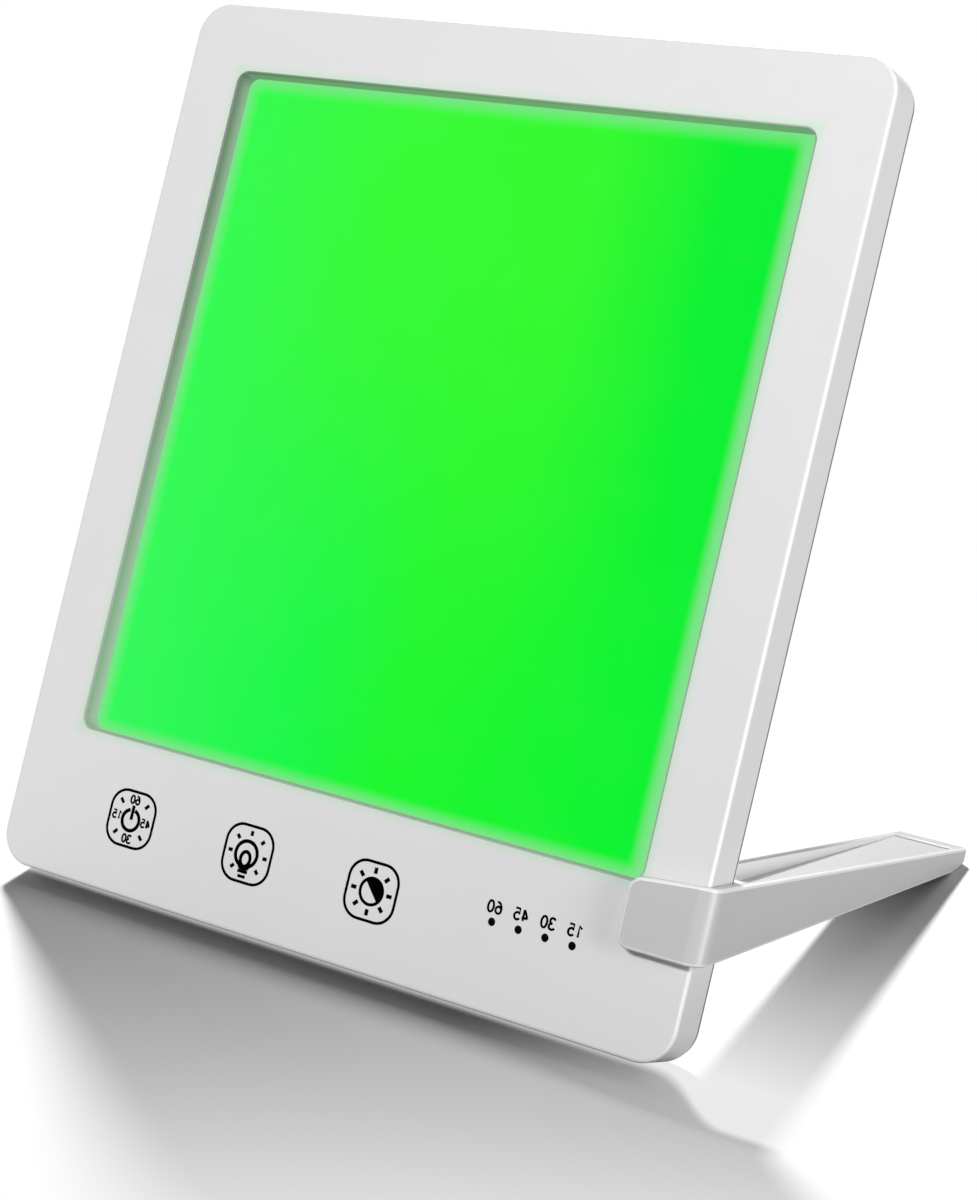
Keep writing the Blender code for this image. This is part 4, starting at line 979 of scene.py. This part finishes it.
def make_sheet():
    """The lit opal sheet. Its green stays off the white floor, which the photograph shows neutral."""
    low, high = panel_box("diffuser_panel")
    size = high - low
    tree = rings_tree(
        "sheet_rings", {"Width": size.x, "Height": size.z, "Thickness": size.y, "Corner": 0.001}, sheet_rows
    )
    mesh = with_finishes(facing_out(grown("sheet", tree, {"Finish": LIT_GREEN})), LIT_GREEN)
    moved(mesh, (low.x + high.x) / 2, low.y, (low.z + high.z) / 2)
    sheet = add_piece("opal_sheet", shaded(mesh), "panel", ["diffuser_panel"])
    sheet.light_linking.receiver_collection = reach("all_but_floor", "EXCLUDE")
    return sheet


def reach(name, floor_state):
    """What a light falls on: the floor alone, or all but the floor."""
    reached = bpy.data.collections.get(name)
    if not reached:
        reached = bpy.data.collections.new(name)
        reached.objects.link(bpy.data.objects["floor"])
        reached.collection_objects[0].light_linking.link_state = floor_state
    return reached


# ---------------------------------------------------------------- signs and figures

def curve_of(name, lines):
    """A curve of poly lines in its XY plane, each (points, closed) or (points, closed, weights)."""
    curve = bpy.data.curves.new(name, "CURVE")
    curve.dimensions = "3D"
    for points, closed, *weights in lines:
        spline = curve.splines.new("POLY")
        spline.points.add(len(points) - 1)
        for number, (point, (x, y)) in enumerate(zip(spline.points, points)):
            point.co = (x, y, 0, 1)
            point.radius = weights[0][number] if weights else 1.0
        spline.use_cyclic_u = closed
    return curve


def arc_points(centre, radius, start, end, steps=24):
    angles = [radians(start + (end - start) * step / steps) for step in range(steps + 1)]
    return [(centre[0] + radius * cos(a), centre[1] + radius * sin(a)) for a in angles]


def oval(centre, width, height, start, end, steps=20):
    angles = [radians(start + (end - start) * step / steps) for step in range(steps + 1)]
    return [(centre[0] + width * cos(a), centre[1] + height * sin(a)) for a in angles]


def round_square(side, corner):
    half = side / 2 - corner
    points = []
    for number, (x, y) in enumerate(((half, half), (-half, half), (-half, -half), (half, -half))):
        points += arc_points((x, y), corner, 90 * number, 90 * number + 90, 10)
    return points


def ink_lines(name, lines, stroke):
    return grown(name, LINES, {"Stroke": stroke, "Thickness": INK, "Finish": SIGN_INK}, curve_of(name, lines))


def ink_patch(name, outline):
    """A filled, flat outline of ink."""
    bm = bmesh.new()
    face = bm.faces.new([bm.verts.new((x, y, -INK / 2)) for x, y in outline])
    grown_face = bmesh.ops.extrude_face_region(bm, geom=[face])["geom"]
    bmesh.ops.translate(bm, vec=(0, 0, INK), verts=[v for v in grown_face if isinstance(v, bmesh.types.BMVert)])
    bmesh.ops.recalc_face_normals(bm, faces=bm.faces)
    mesh = bpy.data.meshes.new(name)
    bm.to_mesh(mesh)
    bm.free()
    return with_finishes(mesh, SIGN_INK)


def rays(name, count, radius, length, stroke, first=0.0, left_out=-1):
    return grown(name, RAYS, {
        "Count": count, "Radius": radius, "Length": length, "Stroke": stroke, "Thickness": INK,
        "First angle": radians(first), "Left out": left_out, "Finish": SIGN_INK,
    })


def figure_lines(text, height, x, y):
    """A figure's strokes, as tall as height, about (x, y)."""
    side = -1 if FIGURES_READ_BACKWARDS else 1
    pitch = 0.80
    lines = []
    for number, digit in enumerate(text):
        start = (number - len(text) / 2) * pitch + (pitch - 0.56) / 2
        for points in DIGITS[digit]:
            lines.append(([(x + side * (start + u) * height, y + (v - 0.5) * height) for u, v in points], False))
    return lines


DIGITS = {
    "0": [oval((0.28, 0.5), 0.28, 0.5, 90, 452)],
    "1": [[(0.08, 0.76), (0.34, 1.0), (0.34, 0.0)]],
    "3": [oval((0.27, 0.75), 0.25, 0.25, 160, -95, 16), oval((0.27, 0.26), 0.29, 0.27, 95, -160, 16)],
    "4": [[(0.44, 0.0), (0.44, 1.0)], [(0.42, 1.0), (0.03, 0.31)], [(0.0, 0.28), (0.60, 0.28)]],
    "5": [[(0.52, 1.0), (0.10, 1.0), (0.06, 0.54)] + oval((0.27, 0.32), 0.29, 0.32, 125, -150, 16)],
    "6": [oval((0.28, 0.31), 0.28, 0.31, 0, 360), oval((0.42, 0.40), 0.42, 0.60, 80, 190, 14)],
}


def on_face(mesh, x, z):
    """A flat mesh in X and Y stood on the bezel's face at a place across and up the panel."""
    mesh.transform(Matrix.Translation((x, FRONT_Y - INK / 2, z)) @ Matrix.Rotation(pi / 2, 4, "X"))
    return mesh


def power_sign():
    """A power ring with its bar, among the timer's figures."""
    s = SIGN_SIDE
    low = -0.022 * s
    ring = arc_points((-0.01 * s, low), 0.180 * s, 90 + 16, 450 - 16, 36)
    bar = [(-0.004 * s, low + 0.01 * s), (-0.004 * s, low + 0.26 * s)]
    figures = (("60", -0.005, 0.335), ("45", 0.315, -0.015), ("30", -0.005, -0.345), ("15", -0.315, 0.015))
    meshes = [ink_lines("power_ring", [(ring, False), (bar, False)], BOLD_STROKE)]
    for text, x, y in figures:
        meshes.append(ink_lines(f"sign_{text}", figure_lines(text, 0.135 * s, x * s, y * s), SIGN_FIGURE_STROKE))
    return meshes + [rays("quarter_ticks", 4, 0.385 * s, 0.105 * s, 0.058 * s, 45)]


def bulb_sign():
    """A glowing bulb: its glass, the loop inside, two bars of its cap and seven rays."""
    s = SIGN_SIDE
    left = -0.024 * s
    glass = arc_points((left, -0.005 * s), 0.218 * s, -64, 244, 40)
    glass = [(left + 0.07 * s, -0.25 * s), *glass, (left - 0.07 * s, -0.25 * s)]
    loop = oval((left, -0.09 * s), 0.095 * s, 0.125 * s, 0, 348.75, 31)
    bars = [
        ([(left - half * s, y * s), (left + half * s, y * s)], False)
        for half, y in ((0.08, -0.248), (0.10, -0.303), (0.075, -0.385))
    ]
    meshes = [ink_lines("bulb_glass", [(glass, False), (loop, True)], BOLD_STROKE)]
    meshes += [ink_lines("bulb_cap", bars, BOLD_STROKE * 0.85)]
    return meshes + [rays("bulb_rays", 8, 0.355 * s, 0.085 * s, 0.062 * s, 90, 4)]


def brightness_sign():
    """A circle filled on its upper right, among eight rays."""
    s = SIGN_SIDE
    radius = 0.215 * s
    ring = arc_points((0, 0), radius, 0, 352.5, 47)
    filled = arc_points((0, 0), radius, -48, 132, 32)
    meshes = [ink_lines("half_ring", [(ring, True)], FINE_STROKE * 1.1), ink_patch("half_fill", filled)]
    return meshes + [rays("brightness_rays", 8, 0.345 * s, 0.102 * s, 0.066 * s, 0)]


def make_signs():
    meshes = []
    for x, makers in zip(SIGN_XS, (power_sign, bulb_sign, brightness_sign)):
        frame_line = ink_lines("sign_frame", [(round_square(SIGN_SIDE - FINE_STROKE, SIGN_CORNER), True)], FINE_STROKE)
        meshes += [on_face(mesh, x, SIGN_Z) for mesh in (frame_line, *makers())]
    mesh = facing_out(joined("touch_signs", meshes))
    return add_piece("touch_signs", mesh, "panel")


def make_timer_figures():
    lines = []
    for number, text in enumerate(("60", "45", "30", "15")):
        lines += figure_lines(text, FIGURE_HEIGHT, LENS_PITCH * (number - 1.5), 0)
    mesh = on_face(
        ink_lines("timer_figures", lines, FIGURE_STROKE), LENS_FIRST_X + LENS_PITCH * 1.5, LENS_Z + FIGURE_RISE
    )
    return add_piece("timer_figures", facing_out(mesh), "panel")


# ---------------------------------------------------------------- the power inlet

def make_inlet():
    """The inlet: its oval shell, the tongue and a row of contacts on each side of it."""
    tree = rings_tree("inlet_rings", {"Width": INLET_HEIGHT, "Height": INLET_WIDTH, "Length": INLET_LENGTH}, shell_rows)
    shell = with_finishes(facing_out(grown("shell", tree, {"Finish": ZINC})), ZINC)
    turn = Matrix(((0, 1, 0, 0), (1, 0, 0, 0), (0, 0, 1, 0), (0, 0, 0, 1)))
    shell.transform(turn)
    facing_out(shell)
    tongue = with_finishes(boxes_mesh("tongue", [((0.0006 + TONGUE[0] / 2, 0, 0), TONGUE)]), TONGUE_BLACK)
    contact = boxes_mesh("contact", [((0, 0, 0), (0.0036, TONGUE[1] + 0.00008, 0.00026))])
    contacts = set_out("contacts", contact, BRASS, 1, 0.0, 12, 0.0005)
    moved(contacts, 0.0006 + 0.0003 + 0.0018)
    mesh = joined("inlet", [shaded(shell), tongue, with_finishes(contacts, BRASS)])
    moved(mesh, INLET_X, INLET_Y, INLET_Z)
    return add_piece("power_inlet", shaded(mesh), "panel", ["power_socket"])


# ---------------------------------------------------------------- the stand

def arc_between(centre, radius, start, end, steps):
    angles = [start + (end - start) * step / steps for step in range(steps + 1)]
    return [(centre[0] + radius * cos(a), centre[1] + radius * sin(a)) for a in angles]


def floor_height(y):
    """The floor's height in the panel's frame at a depth behind it."""
    origin = PANEL.translation
    return (sin(LEAN) * y - origin.z) / cos(LEAN)


def leg_top(y):
    tip = floor_height(LEG_REACH) + LEG_TIP_HEIGHT
    root = CLIP_RISE + CLIP_HEIGHT
    return root + (tip - root) * (y - STAND_FRONT_Y) / (LEG_REACH - STAND_FRONT_Y)


def leg_inner_x(y):
    share = (y - CLIP_BACK_Y) / (LEG_REACH - CLIP_BACK_Y)
    return STAND_OUTER_X - LEG_ROOT_WIDTH - (LEG_TIP_WIDTH - LEG_ROOT_WIDTH) * share


def recess_depth(y):
    share = (y - CLIP_BACK_Y) / (RECESS_END - CLIP_BACK_Y)
    return RECESS_ROOT_DEPTH + (RECESS_TIP_DEPTH - RECESS_ROOT_DEPTH) * share


def stand_plan():
    """The stand seen along the panel's height."""
    outer = STAND_OUTER_X
    slot_x = PANEL_WIDTH / 2 + GAP
    tip = LEG_TIP_CORNER
    inner_tip = leg_inner_x(LEG_REACH)
    points = [(CLIP_INNER_X, STAND_FRONT_Y)]
    points += arc_between((outer - CLIP_BEND, STAND_FRONT_Y + CLIP_BEND), CLIP_BEND, -pi / 2, 0, 24)
    points += arc_between((outer - tip, LEG_REACH - tip), tip, 0, pi / 2, 8)
    points += arc_between((inner_tip + tip, LEG_REACH - tip), tip, pi / 2, pi, 8)
    points += [(leg_inner_x(CLIP_BACK_Y), CLIP_BACK_Y), (CLIP_INNER_X, CLIP_BACK_Y)]
    return points + [(CLIP_INNER_X, GAP), (slot_x, GAP), (slot_x, FRONT_Y - GAP), (CLIP_INNER_X, FRONT_Y - GAP)]


def wedge_mesh(name, stations, sides, heights):
    """A solid between two stations along Y, each with its own sides and heights."""
    bm = bmesh.new()
    rings = [
        [bm.verts.new((x, y, z)) for x, z in ((left, low), (right, low), (right, high), (left, high))]
        for y, (left, right), (low, high) in zip(stations, sides, heights)
    ]
    bm.faces.new(rings[0])
    bm.faces.new(rings[1])
    for turn in range(4):
        after = (turn + 1) % 4
        bm.faces.new((rings[0][turn], rings[0][after], rings[1][after], rings[1][turn]))
    bmesh.ops.recalc_face_normals(bm, faces=bm.faces)
    mesh = bpy.data.meshes.new(name)
    bm.to_mesh(mesh)
    bm.free()
    return mesh


def leg_low(y):
    foot = LEG_REACH - FOOT_LENGTH * cos(LEAN)
    return CLIP_RISE + (floor_height(foot) - CLIP_RISE) * (y - STAND_FRONT_Y) / (foot - STAND_FRONT_Y)


def recess_sides(y):
    return leg_inner_x(y) + RECESS_RIM, STAND_OUTER_X - RECESS_RIM


def recess_floor(y):
    return leg_top(y) - recess_depth(y)


def stand_block():
    """The stand's outline raised between its slopes. The tab's top drops to its end, whose corners are round."""
    bm = bmesh.new()
    outline = stand_plan()
    bend_x = STAND_OUTER_X - CLIP_BEND
    drops = [TAB_DROP * max(0.0, bend_x - x) / (bend_x - CLIP_INNER_X) if y < 0 else 0.0 for x, y in outline]
    lower = [bm.verts.new((x, y, leg_low(y))) for x, y in outline]
    upper = [bm.verts.new((x, y, leg_top(y) - drop)) for (x, y), drop in zip(outline, drops)]
    bm.faces.new(lower)
    bm.faces.new(upper[1:-1])
    bm.faces.new((upper[0], upper[1], upper[-2], upper[-1]))
    for number in range(len(outline)):
        after = (number + 1) % len(outline)
        bm.faces.new((lower[number], lower[after], upper[after], upper[number]))
    ends = [
        edge for edge in bm.edges
        if all(abs(v.co.x - CLIP_INNER_X) < MERGE and v.co.y < FRONT_Y for v in edge.verts)
        and abs(edge.verts[0].co.y - edge.verts[1].co.y) > 0.001
    ]
    bmesh.ops.bevel(bm, geom=ends, offset=TAB_CORNER, segments=12, profile=0.5, affect="EDGES", clamp_overlap=True)
    bmesh.ops.recalc_face_normals(bm, faces=bm.faces)
    mesh = bpy.data.meshes.new("stand")
    bm.to_mesh(mesh)
    bm.free()
    return mesh


def in_recess(place):
    left, right = recess_sides(place.y)
    return place.y > CLIP_BACK_Y - MERGE and left - MERGE < place.x < right + MERGE


def rounded_edges(mesh, segments, finish):
    """Rounds the stand's outward edges, finer round its recess; the new faces get the finish's number."""
    bm = bmesh.new()
    bm.from_mesh(mesh)
    bmesh.ops.remove_doubles(bm, verts=bm.verts, dist=MERGE)
    bmesh.ops.dissolve_limit(bm, angle_limit=radians(1), verts=bm.verts, edges=bm.edges, delimit={"MATERIAL"})
    for inner, radius in ((True, RIM_ROUND), (False, STAND_ROUND)):
        outward = [
            edge for edge in bm.edges
            if edge.is_convex and edge.calc_face_angle() > radians(35)
            and all(in_recess(vertex.co) for vertex in edge.verts) == inner
        ]
        bmesh.ops.bevel(
            bm, geom=outward, offset=radius, offset_type="OFFSET", segments=segments, profile=0.5, affect="EDGES",
            clamp_overlap=False, material=finish,
        )
    bm.to_mesh(mesh)
    bm.free()
    return mesh


def make_stand():
    reach = LEG_REACH + 0.01
    below = wedge_mesh(
        "below_floor", (0.08, reach), [(0.05, 0.13)] * 2, [(-0.05, floor_height(y)) for y in (0.08, reach)]
    )
    stations = (CLIP_BACK_Y, RECESS_END)
    recess = wedge_mesh(
        "leg_recess", stations, [recess_sides(y) for y in stations],
        [(recess_floor(y), leg_top(y) + 0.003) for y in stations],
    )
    steps = [("DIFFERENCE", below), ("DIFFERENCE", recess)]
    pitch = (HOLLOW_END - CLIP_BACK_Y + HOLLOW_RIB) / HOLLOW_COUNT
    for number in range(HOLLOW_COUNT):
        near = CLIP_BACK_Y + pitch * number
        stations = (near, near + pitch - HOLLOW_RIB)
        heights = [(-0.02, recess_floor(y) - HOLLOW_WALL) for y in stations]
        cell = wedge_mesh(f"hollow_{number}", stations, [recess_sides(y) for y in stations], heights)
        steps.append(("DIFFERENCE", cell))
    # The stand's body and edge finishes carry painted shade along the far rim.
    white = plastic("stand_white", (0.56, 0.56, 0.56), 0.36, sheen_of=0.8, painted_light=painted_far_rim_shade)
    # Painted highlight: the stand's rounded edges are painted lighter than its body.
    edge = plastic("stand_edge_highlight", (0.86, 0.86, 0.86), 0.30, blotch=0.01, painted_light=painted_far_rim_shade)
    # Painted light: the recess's upright walls are painted near white, lighter than the stand, as if lit.
    inside = plastic("stand_inside_painted_light", (0.90, 0.90, 0.90), 0.45, blotch=0.02)
    mesh = with_finishes(combined(stand_block(), steps), white, edge, inside)
    for face in mesh.polygons:
        x, y, z = face.center
        left, right = recess_sides(y)
        inside = CLIP_BACK_Y - MERGE < y < RECESS_END + MERGE and left - MERGE < x < right + MERGE
        upright = abs(face.normal.z) < 0.5 and abs(face.normal.y) < 0.8
        above = recess_floor(y) - MERGE < z < leg_top(y) - MERGE
        face.material_index = 2 if inside and upright and above else 0
    # The rounded edges get slot 1, the painted highlight.
    mesh = shaded(rounded_edges(mesh, 4, 1), 40)
    holder = bpy.data.objects.new("stand_work", mesh)
    bpy.context.scene.collection.objects.link(holder)
    weighted = holder.modifiers.new("flat faces", "WEIGHTED_NORMAL")
    weighted.weight = 90
    weighted.keep_sharp = True
    mesh = evaluated(holder)
    bpy.data.objects.remove(holder)
    return add_piece("stand", mesh, "stand", ["stand_bracket"])


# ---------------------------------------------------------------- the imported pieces' finishes

def dress_packed_nodes():
    """Each node that stays gets its slot's finish."""
    slots = {part["node"]: part["material_slot"] for part in frame["record"]["subparts"]}
    for name, node in frame["nodes"].items():
        finish = INNER_FINISHES.get(slots[name], CASE_WHITE)
        node.data.materials.clear()
        node.data.materials.append(finish)


# ---------------------------------------------------------------- floor, light and camera

def make_floor():
    """A pale floor that keeps the lamp's shadow and fades out into the white room.

    The shadow is deepest under the panel's edge and the leg's tip; away from them painted light, white glow mixed in by
    place, lightens it."""
    bm = bmesh.new()
    bmesh.ops.create_circle(bm, cap_ends=True, segments=96, radius=1.6)
    mesh = bpy.data.meshes.new("floor")
    bm.to_mesh(mesh)
    bm.free()
    floor = bpy.data.objects.new("floor", mesh)
    floor.location.z = FLOOR_DROP
    bpy.context.scene.collection.objects.link(floor)
    material, tree, where = new_shader("floor_white")
    away = tree.add("ShaderNodeVectorMath", {"operation": "LENGTH"}, {0: where}, output="Value")
    place = tree.add("ShaderNodeSeparateXYZ", {}, {"Vector": where})
    x, y = place.other("X"), place.other("Y")
    ahead = FOOT_Y - y
    in_shade = ahead * (3.4 + x.most(0.0) * 14) + x * 1.8 + 0.17
    by_panel = (ahead.fade(0.009, 0.025) * in_shade).most(x.fade(0.035, 0.12) * 0.38 + 0.035)
    by_leg = ((0.066 - y) / 0.135).most(0.0).to_power(1.7) * 0.75
    in_front = (ahead - x.fade(0.09, 0.115) * 0.016).fade(0.0, 0.006)
    # Painted light on the floor: white glow, by place, lightens the shadow away from the panel's edge and the leg's
    # tip, and brings the far floor to white.
    painted_lift = (by_leg + (by_panel - by_leg) * in_front).most(0.0).least(0.8).most(away.fade(0.25, 0.6))
    seen = tree.add("ShaderNodeLightPath", output="Is Camera Ray")
    tone = tree.mix(seen, (0.45, 0.45, 0.45, 1.0), (0.98, 0.98, 0.98, 1.0))
    matt = tree.add("ShaderNodeBsdfDiffuse", {}, {"Color": tone})
    glow = tree.add("ShaderNodeEmission", {}, {"Color": (1, 1, 1, 1), "Strength": 1.0})
    lifted = tree.add("ShaderNodeMixShader", {}, {0: seen * painted_lift, 1: matt, 2: glow})
    clear = tree.add("ShaderNodeBsdfTransparent", {}, {"Color": (1, 1, 1, 1)})
    below = tree.add("ShaderNodeNewGeometry", output="Backfacing")
    fading = tree.add("ShaderNodeMixShader", {}, {0: away.fade(0.5, 1.5).most(below), 1: lifted, 2: clear})
    set_surface(tree, fading)
    mesh.materials.append(material)


def make_world():
    world = bpy.data.worlds.new("white_room")
    world.use_nodes = True
    world.node_tree.nodes.clear()
    tree = Tree(world.node_tree)
    camera = tree.add("ShaderNodeLightPath", output="Is Camera Ray")
    seen = camera.most(camera.other("Is Glossy Ray")).most(camera.other("Is Transmission Ray"))
    strength = ROOM_LIGHT + seen * (1.0 - ROOM_LIGHT)
    room = tree.add("ShaderNodeBackground", {}, {"Color": (1, 1, 1, 1), "Strength": strength})
    tree.add("ShaderNodeOutputWorld", {}, {"Surface": room})
    bpy.context.scene.world = world


def add_light(name, kind, energy, place, aim, **settings):
    light = bpy.data.lights.new(name, kind)
    light.energy = energy
    for setting, value in settings.items():
        setattr(light, setting, value)
    lamp = bpy.data.objects.new(name, light)
    lamp.location = place
    lamp.rotation_mode = "QUATERNION"
    lamp.rotation_quaternion = (Vector(aim) - Vector(place)).to_track_quat("-Z", "Y")
    bpy.context.scene.collection.objects.link(lamp)
    return lamp


def make_lights():
    """A sun from behind and above, more of it for the floor, a high front fill and a strip at the right."""
    middle = Vector((0, 0, 0.1))
    sun = Vector((-0.67, 0.9, 1.0))
    add_light("key", "SUN", 3.5, middle + sun, middle, angle=radians(6.5))
    floor_key = add_light("floor_key", "SUN", 0.9, middle + sun, middle, angle=radians(6.5))
    floor_key.light_linking.receiver_collection = reach("floor_alone", "INCLUDE")
    fill = add_light(
        "front_fill", "AREA", 52.0, middle + Vector((-0.54, -2.06, 1.85)), middle,
        shape="RECTANGLE", size=1.4, size_y=0.4,
    )
    strip = add_light(
        "right_strip", "AREA", 18.5, middle + Vector((1.70, -0.40, 0.34)), middle,
        shape="RECTANGLE", size=0.56, size_y=1.0,
    )
    for lamp in (fill, strip):
        lamp.light_linking.receiver_collection = reach("all_but_floor", "EXCLUDE")


def make_camera():
    """The photograph's view: place, level and field as solved from the panel's corners."""
    data = bpy.data.cameras.new("view")
    data.lens = 72
    data.sensor_width = 36
    data.clip_start = 0.01
    data.clip_end = 50
    camera = bpy.data.objects.new("view", data)
    camera.location = (0.30414, -0.51894, 0.24456)
    camera.rotation_euler = tuple(radians(angle) for angle in (74.1662, -3.0913, 31.8992))
    bpy.context.scene.collection.objects.link(camera)
    bpy.context.scene.camera = camera


make_camera()
make_world()
make_floor()
make_lights()
dress_packed_nodes()
make_bezel()
make_cover()
make_cover_screws()
make_lenses()
make_sheet()
make_signs()
make_timer_figures()
make_inlet()
make_stand()

bpy.context.scene.view_settings.view_transform = "Standard"
